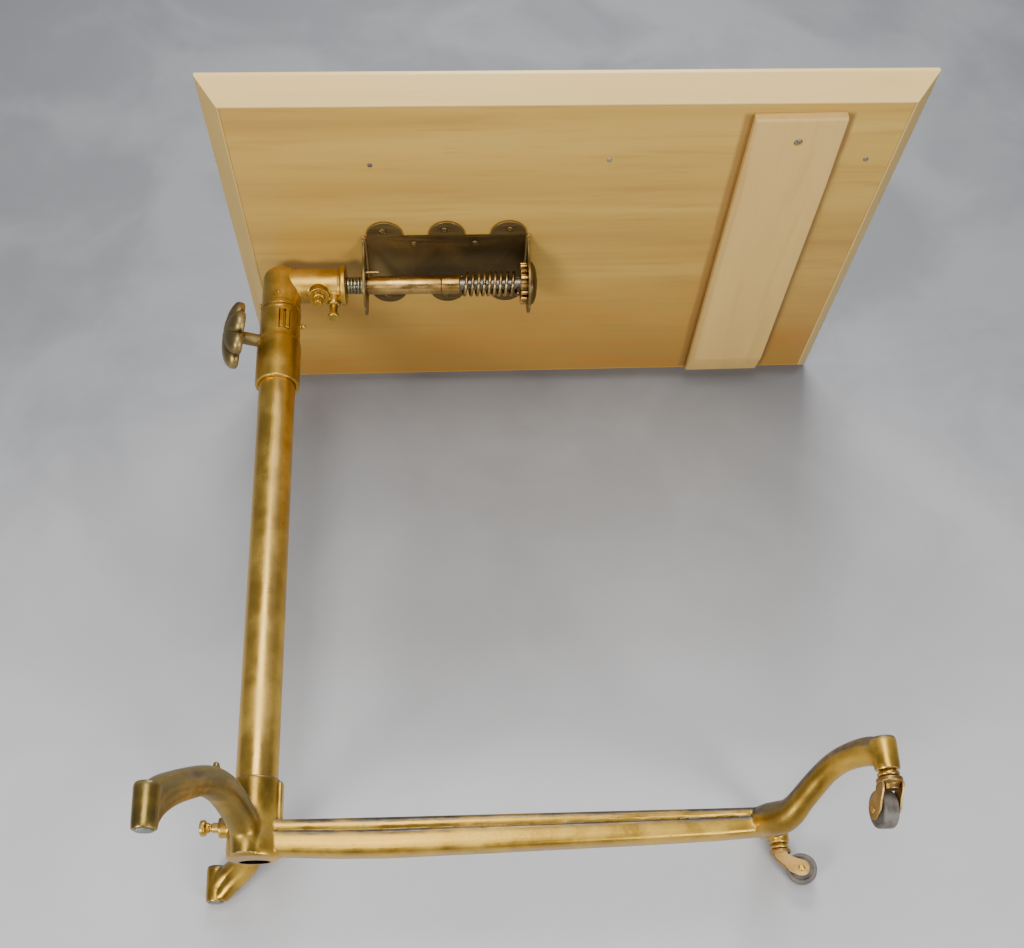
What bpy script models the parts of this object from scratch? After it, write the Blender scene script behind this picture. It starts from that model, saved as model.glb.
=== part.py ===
"""Reading stand: cast base, tube column with a clamp, and a wooden table that tilts on a spindle.

Everything is built in metres about the upright tube (x = y = 0, floor at z = 0, table towards +X),
then moved so that the origin is under the middle of the whole stand. "near" is the -Y side.
"""
import math

import bmesh
import bpy
from mathutils import Matrix, Vector

GAP = 0.0003  # air left between neighbouring pieces

# Table
TABLE_X = (-0.0487, 0.6371)
TABLE_HALF_DEPTH = 0.2286
TABLE_TOP = 0.6793
TABLE_UNDERSIDE = 0.6555
EDGE_INSET = 0.0198
EDGE_CORNER_Z = 0.6753

# Batten under the outer end of the table
BATTEN_X = (0.4712, 0.5589)
BATTEN_TURN = math.radians(-0.9)
BATTEN_END_Y = 0.200
BRADS = ((0.1040, -0.1400), (0.3380, -0.1436), (0.5920, -0.1417))
BATTEN_SCREW = (0.5145, -0.1735)
BATTEN_THICKNESS = 0.013

# Tilt spindle
SPINDLE_Z = 0.6245
SPINDLE_RADIUS = 0.006
SPINDLE_BORE = 0.0063
SPINDLE_X = (0.010, 0.2700)

# Bracket
BRACKET_X = (0.0879, 0.2655)
BRACKET_SHEET = 0.0025
BRACKET_HALF_DEPTH = 0.043
LOBE_X = (0.1120, 0.1773, 0.2427)
LOBE_RADIUS = 0.0192
LOBE_TIP_Y = 0.063
EAR_RADIUS = 0.031
BRACKET_SCREWS = ((0.1100, 0.0510), (0.1750, 0.0520), (0.2440, 0.0520), (0.1425, 0.0317), (0.2073, 0.0320))

# Tilt lock
WHEEL_X = (0.2555, 0.2625)
WHEEL_TEETH = 16
SPRING_X = (0.1905, 0.2548)
SPRING_TURNS = 9.5

# Column and collar
TUBE_RADIUS = 0.0185
TUBE_INNER = 0.0165
TUBE_Z = (0.0353, 0.5860)
SLIDER_RADIUS = 0.0160
SLIDER_WALL = 0.0022
SLIDER_Z = (0.1200, 0.6115)
COLLAR_Z = (0.4962, 0.5877)
COLLAR_INNER = 0.0188
KEY_ANGLE = math.radians(-69)
KEY_Z = (0.5557, 0.5799)
KEY_WIDTH = 0.0117
KEYWAY_WIDTH = 0.005
KEYWAY_DEPTH = 0.0012

# Elbow
ELBOW_BOTTOM = 0.5882
ELBOW_RADIUS = 0.0204
BARREL_RADIUS = 0.0178
BARREL_END = 0.0687
SET_SCREW_X = 0.0405
SET_SCREW_DIRECTION = Vector((0, -math.sin(math.radians(20)), -math.cos(math.radians(20))))
LUG_X = 0.0557

# Height clamp
CLAMP_Z = 0.5487
CLAMP_DIRECTION = Vector((-math.cos(math.radians(20)), -math.sin(math.radians(20)), 0))
CLAMP_SCREW_RADIUS = 0.0065
KNOB_DISTANCE = 0.045
KNOB_RADIUS = 0.035
KNOB_LOBES = 7

# Base
HUB_BOTTOM = 0.0150
HUB_TOP = 0.085
THUMB_SCREW_Z = 0.0437
BASE_TURN = math.radians(2.6)  # the bar and legs stand slightly turned in relation to the table
BAR_END = 0.4500
BAR_TOP = (0.0480, 0.0512)
BAR_HEIGHT_SCALE = (1.11, 0.90)
LEFT_FOOT = (-0.0558, 0.1635)
LEFT_FOOT_RADIUS = 0.0095
LEFT_ANKLE_RADIUS = 0.0112
LEFT_RIM = 0.0065
RIGHT_LEGS_X = 0.4400
RIGHT_FOOT = (0.5063, 0.1405)
RIGHT_RIM = 0.0470

# Casters
CASTER_TRAIL = 0.018
CASTER_WHEEL_RADIUS = 0.015
CASTER_WHEEL_WIDTH = 0.013
CASTER_SHEET = 0.0018
CASTER_ANGLES = {"near": math.radians(95), "far": math.radians(-15)}

# The whole stand is moved along X so that the origin is halfway between its left foot and its table edge.
FLOOR_Z = 0.0055  # all heights here are measured from a level this far under the floor
LEFT_END_X = -0.0737  # outer side of the far left foot
MIDDLE_X = (TABLE_X[1] + LEFT_END_X) / 2

# Colour, roughness, metallic
MATERIALS = {
    "bronzed_iron": ((0.36, 0.22, 0.045), 0.42, 1.0),
    "dark_bronze": ((0.09, 0.055, 0.02), 0.45, 1.0),
    "brass": ((0.60, 0.42, 0.14), 0.30, 1.0),
    "steel": ((0.42, 0.38, 0.30), 0.32, 1.0),
    "table_wood": ((0.50, 0.32, 0.12), 0.45, 0.0),
    "edge_wood": ((0.66, 0.50, 0.28), 0.45, 0.0),
    "batten_wood": ((0.55, 0.42, 0.24), 0.55, 0.0),
    "wheel_rubber": ((0.20, 0.19, 0.18), 0.60, 0.0),
}


# ---------- tools ----------

def clear_scene():
    for obj in list(bpy.data.objects):
        bpy.data.objects.remove(obj)


def make_materials():
    for name, (colour, roughness, metallic) in MATERIALS.items():
        material = bpy.data.materials.new(name)
        material.use_nodes = True
        shader = material.node_tree.nodes["Principled BSDF"]
        shader.inputs["Base Color"].default_value = (*colour, 1.0)
        shader.inputs["Roughness"].default_value = roughness
        shader.inputs["Metallic"].default_value = metallic


def add_object(data):
    obj = bpy.data.objects.new("piece", data)
    bpy.data.collections["reading_stand"].objects.link(obj)
    return obj


def baked(obj):
    """Replace an object by its evaluated mesh, in world coordinates."""
    graph = bpy.context.evaluated_depsgraph_get()
    mesh = bpy.data.meshes.new_from_object(obj.evaluated_get(graph))
    mesh.transform(obj.matrix_world)
    bpy.data.objects.remove(obj)
    return add_object(mesh)


def weld(obj):
    bm = bmesh.new()
    bm.from_mesh(obj.data)
    bmesh.ops.remove_doubles(bm, verts=bm.verts, dist=0.000002)
    bmesh.ops.dissolve_degenerate(bm, edges=bm.edges, dist=0.000002)
    bmesh.ops.recalc_face_normals(bm, faces=bm.faces)
    bm.to_mesh(obj.data)
    bm.free()
    return obj


def combine(target, operation, tools):
    """Apply an exact Boolean with each tool in turn, and remove the tools."""
    for tool in tools:
        modifier = target.modifiers.new(operation.lower(), "BOOLEAN")
        modifier.operation = operation
        modifier.solver = "EXACT"
        modifier.object = tool
        target = weld(baked(target))
        bpy.data.objects.remove(tool)
    return target


def unite(target, *tools):
    return combine(target, "UNION", tools)


def cut(target, *tools):
    return combine(target, "DIFFERENCE", tools)


def placement(origin, direction):
    """Matrix that puts local +Z along a direction at an origin."""
    turn = Vector(direction).to_track_quat("Z", "Y").to_matrix().to_4x4()
    return Matrix.Translation(origin) @ turn


def turned(profile, origin=(0, 0, 0), direction=(0, 0, 1), segments=24, ring=False):
    """Turn (radius, height) points, listed from the top down the outer side, about an axis."""
    count = len(profile)
    edges = [(i, i + 1) for i in range(count - 1)]
    if ring:
        edges.append((count - 1, 0))
    mesh = bpy.data.meshes.new("profile")
    mesh.from_pydata([(radius, 0, height) for radius, height in profile], edges, [])
    obj = add_object(mesh)
    screw = obj.modifiers.new("turn", "SCREW")
    screw.steps = segments
    screw.render_steps = segments
    screw.use_merge_vertices = True
    screw.merge_threshold = 0.00001
    obj = weld(baked(obj))
    obj.data.transform(placement(origin, direction))
    return obj


def rod(radius, start, end, segments=16):
    start = Vector(start)
    length = (Vector(end) - start).length
    profile = [(0, length), (radius, length), (radius, 0), (0, 0)]
    return turned(profile, start, Vector(end) - start, segments)


def tube(outer, inner, start, end, segments=24):
    start = Vector(start)
    length = (Vector(end) - start).length
    profile = [(inner, length), (outer, length), (outer, 0), (inner, 0)]
    return turned(profile, start, Vector(end) - start, segments, ring=True)


def block(x, y, z, turn_z=0.0):
    """Box between pairs of limits, turned about the upright axis through x = y = 0."""
    bm = bmesh.new()
    bmesh.ops.create_cube(bm, size=1.0)
    middle = Vector([(low + high) / 2 for low, high in (x, y, z)])
    size = Vector([high - low for low, high in (x, y, z)])
    bm.transform(Matrix.Rotation(turn_z, 4, "Z") @ Matrix.Translation(middle) @ Matrix.Diagonal(size).to_4x4())
    mesh = bpy.data.meshes.new("block")
    bm.to_mesh(mesh)
    bm.free()
    return add_object(mesh)


def circle(x, y, radius, count=12, start=0.0, sweep=math.tau):
    """Points round a circle, or along an arc with both ends included."""
    steps = count if sweep == math.tau else count - 1
    angles = [start + sweep * i / steps for i in range(count)]
    return [(x + radius * math.cos(a), y + radius * math.sin(a)) for a in angles]


def plate(outlines, thickness, matrix):
    """Flat outline with holes, extruded equally both ways from its plane."""
    curve = bpy.data.curves.new("outline", "CURVE")
    curve.dimensions = "2D"
    curve.fill_mode = "BOTH"
    curve.extrude = thickness / 2
    for outline in outlines:
        spline = curve.splines.new("POLY")
        spline.points.add(len(outline) - 1)
        for point, (x, y) in zip(spline.points, outline):
            point.co = (x, y, 0, 1)
        spline.use_cyclic_u = True
    obj = weld(baked(add_object(curve)))
    obj.data.transform(matrix)
    return obj


def upright_plate(outlines, x):
    """Plate in the YZ plane between two X limits."""
    turn = Matrix(((0, 0, 1, 0), (1, 0, 0, 0), (0, 1, 0, 0), (0, 0, 0, 1)))
    return plate(outlines, x[1] - x[0], Matrix.Translation(((x[0] + x[1]) / 2, 0, 0)) @ turn)


def swept(points, radii, side_detail):
    """Round bar of varying radius along a path, with closed ends."""
    curve = bpy.data.curves.new("path", "CURVE")
    curve.dimensions = "3D"
    curve.bevel_depth = 0.01
    curve.bevel_resolution = side_detail
    curve.use_fill_caps = True
    spline = curve.splines.new("POLY")
    spline.points.add(len(points) - 1)
    for knot, place, radius in zip(spline.points, points, radii):
        knot.co = (*place, 1)
        knot.radius = radius / curve.bevel_depth
    return weld(baked(add_object(curve)))


def part(name, material, obj, smooth_angle=35):
    """Name a finished piece, give it its material and shading, and move it to the final origin."""
    obj.name = name
    obj.data.name = name
    obj.data.materials.clear()
    obj.data.materials.append(bpy.data.materials[material])
    obj.data.shade_smooth()
    obj.data.set_sharp_from_angle(angle=math.radians(smooth_angle))
    obj.data.transform(Matrix.Translation((-MIDDLE_X, 0, -FLOOR_Z)))
    return obj


def pivot(name, place, pieces):
    """Hang pieces on an empty that stands on their joint axis."""
    empty = bpy.data.objects.new(name, None)
    bpy.data.collections["reading_stand"].objects.link(empty)
    empty.location = Vector(place) - Vector((MIDDLE_X, 0, FLOOR_Z))
    bpy.context.view_layer.update()
    for obj in pieces:
        obj.parent = empty
        obj.matrix_parent_inverse = empty.matrix_world.inverted()


# ---------- base ----------

def foot_place(foot, side):
    """Place of a foot on the ground plan, with the base's turn."""
    return (Matrix.Rotation(BASE_TURN, 2) @ Vector((foot[0], side * foot[1]))).to_tuple()


def leg(stations, root_x, foot, side):
    """One arched leg; each station is (share of the way out, height, radius)."""
    foot_x, foot_y = foot
    points = [(root_x + share * (foot_x - root_x), side * share * foot_y, height) for share, height, _ in stations]
    obj = swept(points, [radius for _, _, radius in stations], 3)
    obj.data.transform(Matrix.Rotation(BASE_TURN, 4, "Z"))
    return obj


def left_leg(side):
    stations = (
        (0.00, 0.0290, 0.0125), (0.07, 0.0340, 0.0130), (0.16, 0.0460, 0.0138), (0.26, 0.0565, 0.0142),
        (0.36, 0.0620, 0.0142), (0.46, 0.0632, 0.0138), (0.56, 0.0612, 0.0127), (0.68, 0.0560, 0.0118),
        (0.80, 0.0500, 0.0114), (0.90, 0.0445, 0.0114), (1.00, 0.0325, LEFT_ANKLE_RADIUS), (1.00, LEFT_RIM, LEFT_FOOT_RADIUS),
    )
    return leg(stations, 0.0, LEFT_FOOT, side)


def right_leg(side):
    stations = (
        (0.00, 0.0370, 0.0145), (0.12, 0.0360, 0.0155), (0.22, 0.0360, 0.0145), (0.30, 0.0385, 0.0125),
        (0.38, 0.0450, 0.0110), (0.47, 0.0525, 0.0110), (0.57, 0.0605, 0.0105), (0.66, 0.0655, 0.0102),
        (0.75, 0.0682, 0.0098), (0.86, 0.0688, 0.0100), (0.95, 0.0665, 0.0100), (1.00, 0.0600, 0.0100),
        (1.00, RIGHT_RIM, 0.0099),
    )
    return leg(stations, RIGHT_LEGS_X, RIGHT_FOOT, side)


def hub():
    profile = (
        (0.0, HUB_TOP), (0.0192, HUB_TOP), (0.0200, HUB_TOP - 0.0008), (0.0205, 0.055), (0.0215, 0.040),
        (0.0235, 0.030), (0.0235, 0.018), (0.0215, HUB_BOTTOM), (0.0, HUB_BOTTOM),
    )
    body = turned(profile)
    boss = rod(0.009, (0, 0, THUMB_SCREW_Z), (-0.030, 0, THUMB_SCREW_Z))
    rib = block((0.012, 0.0235), (-0.006, 0.006), (0.040, 0.084))
    return unite(body, boss, rib)


def bar():
    """Moulded bar, lower and shallower towards its free end: a wide band, a hollow, a narrow bead and a flat top."""
    section_top = 0.0470
    near_side = [
        (-0.0110, 0.0156), (-0.0145, 0.0200), (-0.0145, 0.0310), (-0.0115, 0.0338),
        (-0.0115, 0.0362), (-0.0125, 0.0385), (-0.0125, 0.0415), (-0.0095, 0.0452), (-0.0060, section_top),
    ]
    far_side = [(-y, z) for y, z in reversed(near_side)]
    obj = upright_plate([near_side + far_side], (0.0, BAR_END))
    for vertex in obj.data.vertices:
        share = vertex.co.x / BAR_END
        top = BAR_TOP[0] + share * (BAR_TOP[1] - BAR_TOP[0])
        scale = BAR_HEIGHT_SCALE[0] + share * (BAR_HEIGHT_SCALE[1] - BAR_HEIGHT_SCALE[0])
        vertex.co.z = top + scale * (vertex.co.z - section_top)
    obj.data.transform(Matrix.Rotation(BASE_TURN, 4, "Z"))
    return obj


def base_casting():
    body = unite(hub(), bar(), left_leg(-1), left_leg(1), right_leg(-1), right_leg(1))
    tools = [
        rod(0.0135, (0, 0, 0), (0, 0, 0.04), 24),
        rod(TUBE_RADIUS + GAP, (0, 0, 0.035), (0, 0, 0.2), 24),
        rod(0.0047, (-0.010, 0, THUMB_SCREW_Z), (-0.050, 0, THUMB_SCREW_Z), 12),
    ]
    for side in (-1, 1):
        x, y = foot_place(LEFT_FOOT, side)
        tools.append(rod(0.0038, (x, y, 0), (x, y, 0.0215), 12))
        x, y = foot_place(RIGHT_FOOT, side)
        tools.append(rod(0.0045, (x, y, 0.03), (x, y, FLOOR_Z + 0.0525), 12))
    return part("base_casting", "bronzed_iron", cut(body, *tools))


def glide(side, label):
    """Thin pad with a short stem, almost flush with the foot."""
    x, y = foot_place(LEFT_FOOT, side)
    rim = LEFT_RIM - GAP
    profile = (
        (0.0, 0.0210), (0.0035, 0.0210), (0.0035, rim), (0.0088, rim), (0.0090, FLOOR_Z + 0.0003), (0.0086, FLOOR_Z),
        (0.0, FLOOR_Z),
    )
    return part("glide_" + label, "steel", turned(profile, (x, y, 0), segments=16))


def outer_tube():
    body = tube(TUBE_RADIUS, TUBE_INNER, (0, 0, TUBE_Z[0]), (0, 0, TUBE_Z[1]))
    return part("outer_tube", "bronzed_iron", cut(body, key_window(), clamp_hole()))


def key_window():
    half = KEY_WIDTH / 2
    return block((0.010, 0.030), (-half, half), KEY_Z, KEY_ANGLE)


def clamp_hole():
    centre = Vector((0, 0, CLAMP_Z))
    return rod(CLAMP_SCREW_RADIUS + GAP, centre + 0.005 * CLAMP_DIRECTION, centre + 0.04 * CLAMP_DIRECTION)


def collar():
    bottom, top = COLLAR_Z
    profile = (
        (COLLAR_INNER, top), (0.0206, top), (0.0212, top - 0.0010), (0.0210, 0.5530), (0.0214, 0.5500),
        (0.0227, 0.5473), (0.0227, bottom + 0.001), (0.0221, bottom), (COLLAR_INNER, bottom),
    )
    body = turned(profile, ring=True)
    pin_hole = rod(0.0015, (0.015, 0, 0.571), (0.030, 0, 0.571), 8)
    return part("collar", "bronzed_iron", cut(body, key_window(), clamp_hole(), pin_hole))


def guide_key():
    """Grooved block in the collar's window; its nose rides in the slider's keyway."""
    half = KEY_WIDTH / 2 - GAP
    nose = KEYWAY_WIDTH / 2 - GAP
    z = (KEY_Z[0] + GAP, KEY_Z[1] - GAP)
    body = block((0.0169, 0.0217), (-half, half), z, KEY_ANGLE)
    tongue = block((SLIDER_RADIUS - KEYWAY_DEPTH + GAP, 0.0180), (-nose, nose), z, KEY_ANGLE)
    groove = block((0.0200, 0.0230), (-0.0012, 0.0012), (z[0] - 0.001, z[1] + 0.001), KEY_ANGLE)
    return part("guide_key", "bronzed_iron", cut(unite(body, tongue), groove))


def collar_pin():
    arc = circle(0, 0.0243, 0.0028, 7, math.radians(90), math.radians(-155))
    profile = [*arc, (0.0012, 0.0215), (0.0012, 0.0191), (0, 0.0191)]
    return part("collar_pin", "bronzed_iron", turned(profile, (0, 0, 0.571), (1, 0, 0), 10))


def hub_thumb_screw():
    profile = (
        (0.0, 0.0467), (0.0050, 0.0467), (0.0070, 0.0455), (0.0070, 0.0425), (0.0058, 0.0415), (0.0044, 0.0405),
        (0.0044, 0.0385), (0.0035, 0.0378), (0.0035, 0.0365), (0.0044, 0.0358), (0.0044, 0.0190), (0.0, 0.0190),
    )
    return part("hub_thumb_screw", "bronzed_iron", turned(profile, (0, 0, THUMB_SCREW_Z), (-1, 0, 0), 16))


# ---------- height clamp ----------

def clamp_screw():
    profile = (
        (0.0, 0.0400), (CLAMP_SCREW_RADIUS, 0.0400), (CLAMP_SCREW_RADIUS, 0.0180), (0.0050, SLIDER_RADIUS + GAP),
        (0.0, SLIDER_RADIUS + GAP),
    )
    return part("clamp_screw", "bronzed_iron", turned(profile, (0, 0, CLAMP_Z), CLAMP_DIRECTION, 16))


def clamp_knob():
    """Scalloped hand wheel: rings of one lobed outline, shrinking towards the domed outer face."""
    sections = ((0.30, -0.0047), (0.93, -0.0050), (1.00, -0.0025), (1.00, 0.0025), (0.93, 0.0055),
                (0.72, 0.0095), (0.45, 0.0118), (0.20, 0.0128))
    count = 6 * KNOB_LOBES
    points = []
    for scale, height in sections:
        for i in range(count):
            angle = math.tau * i / count
            scallop = 0.0025 * scale * scale * (math.cos(KNOB_LOBES * angle) - 1)
            radius = scale * KNOB_RADIUS + scallop
            points.append((radius * math.cos(angle), radius * math.sin(angle), height))
    last = len(sections) - 1
    faces = [list(range(count))[::-1], [last * count + i for i in range(count)]]
    for ring in range(last):
        for i in range(count):
            j = (i + 1) % count
            faces.append([ring * count + i, ring * count + j, (ring + 1) * count + j, (ring + 1) * count + i])
    mesh = bpy.data.meshes.new("knob")
    mesh.from_pydata(points, [], faces)
    mesh.transform(placement(Vector((0, 0, CLAMP_Z)) + KNOB_DISTANCE * CLAMP_DIRECTION, CLAMP_DIRECTION))
    socket_start = Vector((0, 0, CLAMP_Z)) + 0.030 * CLAMP_DIRECTION
    socket_end = Vector((0, 0, CLAMP_Z)) + (0.0400 + GAP) * CLAMP_DIRECTION
    body = cut(weld(add_object(mesh)), rod(CLAMP_SCREW_RADIUS + GAP, socket_start, socket_end))
    return part("clamp_knob", "bronzed_iron", body, 50)


# ---------- column ----------

def inner_tube():
    inner = SLIDER_RADIUS - SLIDER_WALL
    body = tube(SLIDER_RADIUS, inner, (0, 0, SLIDER_Z[0]), (0, 0, SLIDER_Z[1]))
    half = KEYWAY_WIDTH / 2
    keyway = block((SLIDER_RADIUS - KEYWAY_DEPTH, 0.020), (-half, half), (0.0, 0.5950), KEY_ANGLE)
    return part("inner_tube", "steel", cut(body, keyway))


def elbow():
    corner = circle(ELBOW_RADIUS - 0.0120, 0.6299, 0.0120, 6, math.radians(90), math.radians(-90))
    upright = turned([
        (0, 0.6419), *corner, (ELBOW_RADIUS, 0.5932), (0.0211, 0.5924), (0.0211, ELBOW_BOTTOM), (0, ELBOW_BOTTOM),
    ])
    flange = BARREL_END - 0.0057
    barrel = turned([
        (0, BARREL_END), (0.0200, BARREL_END), (0.0210, BARREL_END - 0.001), (0.0210, flange + 0.001),
        (0.0200, flange), (BARREL_RADIUS, flange - 0.0006), (BARREL_RADIUS, 0.0), (0, 0.0),
    ], (0, 0, SPINDLE_Z), (1, 0, 0))
    boss_base = Vector((SET_SCREW_X, 0, SPINDLE_Z))
    boss = rod(0.0112, boss_base, boss_base + 0.0238 * SET_SCREW_DIRECTION)
    lug = rod(0.0075, (LUG_X, 0, SPINDLE_Z), (LUG_X, 0, 0.5975))
    tools = (
        rod(SLIDER_RADIUS + GAP, (0, 0, 0.58), (0, 0, SLIDER_Z[1] + GAP), 24),
        rod(SPINDLE_BORE, (SPINDLE_X[0] - GAP, 0, SPINDLE_Z), (0.08, 0, SPINDLE_Z)),
        rod(0.0033, boss_base + 0.003 * SET_SCREW_DIRECTION, boss_base + 0.030 * SET_SCREW_DIRECTION, 12),
        rod(0.0048, (LUG_X, 0, 0.59), (LUG_X, 0, 0.6070), 12),
        rod(0.0021, (0, -0.0180, 0.6016), (0, -0.030, 0.6016), 8),
        rod(0.0025, (-0.0180, 0, 0.5980), (-0.030, 0, 0.5980), 8),
    )
    return part("elbow", "bronzed_iron", cut(unite(upright, barrel, boss, lug), *tools))


def elbow_rivet():
    profile = ((0, 0.0218), (0.0012, 0.0216), (0.0018, 0.0209), (0.0018, 0.0183), (0, 0.0183))
    return part("elbow_rivet", "bronzed_iron", turned(profile, (0, 0, 0.6016), (0, -1, 0), 10))


def elbow_side_screw():
    profile = (
        (0, 0.0229), (0.0022, 0.0227), (0.0034, 0.0219), (0.0034, 0.0209), (0.0022, 0.0209), (0.0022, 0.0183),
        (0, 0.0183),
    )
    return part("elbow_side_screw", "bronzed_iron", turned(profile, (0, 0, 0.5980), (-1, 0, 0), 12))


def spindle_set_screw():
    profile = (
        (0, 0.0361), (0.0040, 0.0361), (0.0045, 0.0355), (0.0045, 0.0271), (0.0060, 0.0271), (0.0060, 0.0241),
        (0.0030, 0.0241), (0.0030, 0.0066), (0, 0.0066),
    )
    place = (SET_SCREW_X, 0, SPINDLE_Z)
    return part("spindle_set_screw", "bronzed_iron", turned(profile, place, SET_SCREW_DIRECTION, 16))


def lug_screw():
    profile = (
        (0, 0.6065), (0.0045, 0.6065), (0.0045, 0.5870), (0.0062, 0.5862), (0.0062, 0.5828), (0.0050, 0.5820),
        (0, 0.5820),
    )
    return part("lug_screw", "bronzed_iron", turned(profile, (LUG_X, 0, 0), segments=16))


def spindle():
    body = rod(SPINDLE_RADIUS, (SPINDLE_X[0], 0, SPINDLE_Z), (SPINDLE_X[1], 0, SPINDLE_Z))
    x, y, z = key_seat()
    seat = block((x[0] - GAP, x[1] + GAP), (y[0] - GAP, y[1] + GAP), (z[0] - GAP, z[1] + 0.005))
    return part("spindle", "steel", cut(body, seat))


def key_seat():
    return (0.2480, 0.2622), (-0.0012, 0.0012), (SPINDLE_Z + 0.0042, SPINDLE_Z + 0.0074)


def wheel_key():
    return part("wheel_key", "steel", block(*key_seat()))


def threaded_bush():
    turns = 5
    start, end = BARREL_END + GAP, BRACKET_X[0] - GAP
    pitch = (end - start) / turns
    outer = []
    for i in range(turns):
        high = end - i * pitch
        outer += [(0.0084, high), (0.0090, high - 0.5 * pitch)]
    profile = [(SPINDLE_BORE, end), *outer, (0.0084, start), (SPINDLE_BORE, start)]
    return part("threaded_bush", "brass", turned(profile, (0, 0, SPINDLE_Z), (1, 0, 0), 16, ring=True))


def spacer_sleeve():
    body = tube(0.0095, SPINDLE_BORE, (0.0910, 0, SPINDLE_Z), (0.1700, 0, SPINDLE_Z))
    return part("spacer_sleeve", "brass", body)


def spring_seat():
    profile = (
        (SPINDLE_BORE, 0.1903), (0.0091, 0.1903), (0.0098, 0.1896), (0.0098, 0.1712), (0.0092, 0.1705),
        (SPINDLE_BORE, 0.1705),
    )
    return part("spring_seat", "brass", turned(profile, (0, 0, SPINDLE_Z), (1, 0, 0), 16, ring=True))


def detent_spring():
    """Coil of round wire, with its ends one wire radius inside the spring's length."""
    wire = 0.0012
    radius = 0.0132 - wire
    steps = round(SPRING_TURNS * 10)
    start, end = SPRING_X[0] + wire + GAP, SPRING_X[1] - wire
    points = []
    for i in range(steps + 1):
        angle = math.tau * SPRING_TURNS * i / steps
        points.append((start + (end - start) * i / steps, radius * math.sin(angle), SPINDLE_Z + radius * math.cos(angle)))
    return part("detent_spring", "steel", swept(points, [wire] * len(points), 1), 60)


# ---------- tilt lock ----------

def detent_wheel():
    """Toothed wheel that slides on the spindle's key; each tooth has a rounded end."""
    tip, root = 0.0220, 0.0180
    pitch = math.tau / WHEEL_TEETH
    outline = []
    for tooth in range(WHEEL_TEETH):
        middle = tooth * pitch
        for share, radius in ((-0.34, root), (-0.24, tip - 0.0012), (-0.10, tip), (0.10, tip), (0.24, tip - 0.0012),
                              (0.34, root)):
            angle = middle + share * pitch
            outline.append((radius * math.cos(angle), SPINDLE_Z + radius * math.sin(angle)))
    body = upright_plate([outline], WHEEL_X)
    bore = rod(SPINDLE_BORE, (0.24, 0, SPINDLE_Z), (0.28, 0, SPINDLE_Z))
    x, y, z = key_seat()
    keyway = block((0.24, 0.28), (y[0] - GAP, y[1] + GAP), (SPINDLE_Z, z[1] + GAP))
    return part("detent_wheel", "bronzed_iron", cut(body, bore, keyway))


# ---------- table ----------

def bracket_plate():
    """Rectangular plate with three round lobes along each side."""
    top = TABLE_UNDERSIDE - GAP
    bottom = top - BRACKET_SHEET
    body = block(BRACKET_X, (-BRACKET_HALF_DEPTH, BRACKET_HALF_DEPTH), (bottom, top))
    lobe_y = LOBE_TIP_Y - LOBE_RADIUS
    sites = [(x, side * lobe_y) for x in LOBE_X for side in (-1, 1)]
    return unite(body, *[rod(LOBE_RADIUS, (x, y, bottom), (x, y, top), 20) for x, y in sites])


def bracket_ear(x):
    """Ear in the YZ plane: it narrows in a hollow sweep to a round end about the spindle."""
    top = TABLE_UNDERSIDE - GAP - BRACKET_SHEET / 2
    steps = 6
    right_side = []
    for i in range(steps):
        share = 1 - i / steps
        half_width = EAR_RADIUS + (BRACKET_HALF_DEPTH - EAR_RADIUS) * share ** 2.5
        right_side.append((half_width, SPINDLE_Z + share * (top - SPINDLE_Z)))
    left_side = [(-y, z) for y, z in reversed(right_side)]
    round_end = circle(0, SPINDLE_Z, EAR_RADIUS, 15, 0, -math.pi)
    return upright_plate([right_side + round_end + left_side, circle(0, SPINDLE_Z, SPINDLE_BORE, 16)], x)


def bracket():
    x0, x1 = BRACKET_X
    left_ear = bracket_ear((x0, x0 + BRACKET_SHEET))
    right_ear = bracket_ear((x1 - BRACKET_SHEET + GAP, x1))
    tools = [rod(0.0018, (0.08, -0.006, 0.637), (0.10, -0.006, 0.637), 8)]
    for x, y in BRACKET_SCREWS:
        tools += [rod(0.0024, (x, side * y, 0.64), (x, side * y, 0.66), 8) for side in (-1, 1)]
    return part("bracket", "dark_bronze", cut(unite(bracket_plate(), left_ear, right_ear), *tools))


def ear_cap():
    start = BRACKET_X[1] + GAP
    bore_end = SPINDLE_X[1] + GAP
    profile = (
        (0, 0.2736), (0.0080, 0.2734), (0.0150, 0.2724), (0.0205, 0.2702), (0.0227, 0.2680), (0.0227, start + 0.0004),
        (0.0222, start), (SPINDLE_BORE, start), (SPINDLE_BORE, bore_end), (0, bore_end),
    )
    return part("ear_cap", "dark_bronze", turned(profile, (0, 0, SPINDLE_Z), (1, 0, 0), 20))


def stop_pin():
    profile = (
        (0, 0.1040), (0.0012, 0.1040), (0.0015, 0.1036), (0.0015, 0.0876), (0.0025, 0.0876), (0.0025, 0.0858),
        (0.0018, 0.0850), (0, 0.0850),
    )
    return part("stop_pin", "steel", turned(profile, (0, -0.006, 0.637), (1, 0, 0), 10))


def bracket_screw(x, y, name):
    """Dome-headed wood screw up through the bracket."""
    seat = TABLE_UNDERSIDE - GAP - BRACKET_SHEET - 0.0001
    profile = (
        (0, 0.6670), (0.0018, 0.6670), (0.0018, seat), (0.0040, seat), (0.0037, seat - 0.0008), (0.0024, seat - 0.0015),
        (0, seat - 0.0018),
    )
    return part(name, "dark_bronze", turned(profile, (x, y, 0), segments=8))


def bracket_screws():
    screws = []
    for side, label in ((-1, "near"), (1, "far")):
        for number, (x, y) in enumerate(BRACKET_SCREWS, 1):
            screws.append(bracket_screw(x, side * y, f"bracket_screw_{label}_{number}"))
    return screws


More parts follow.
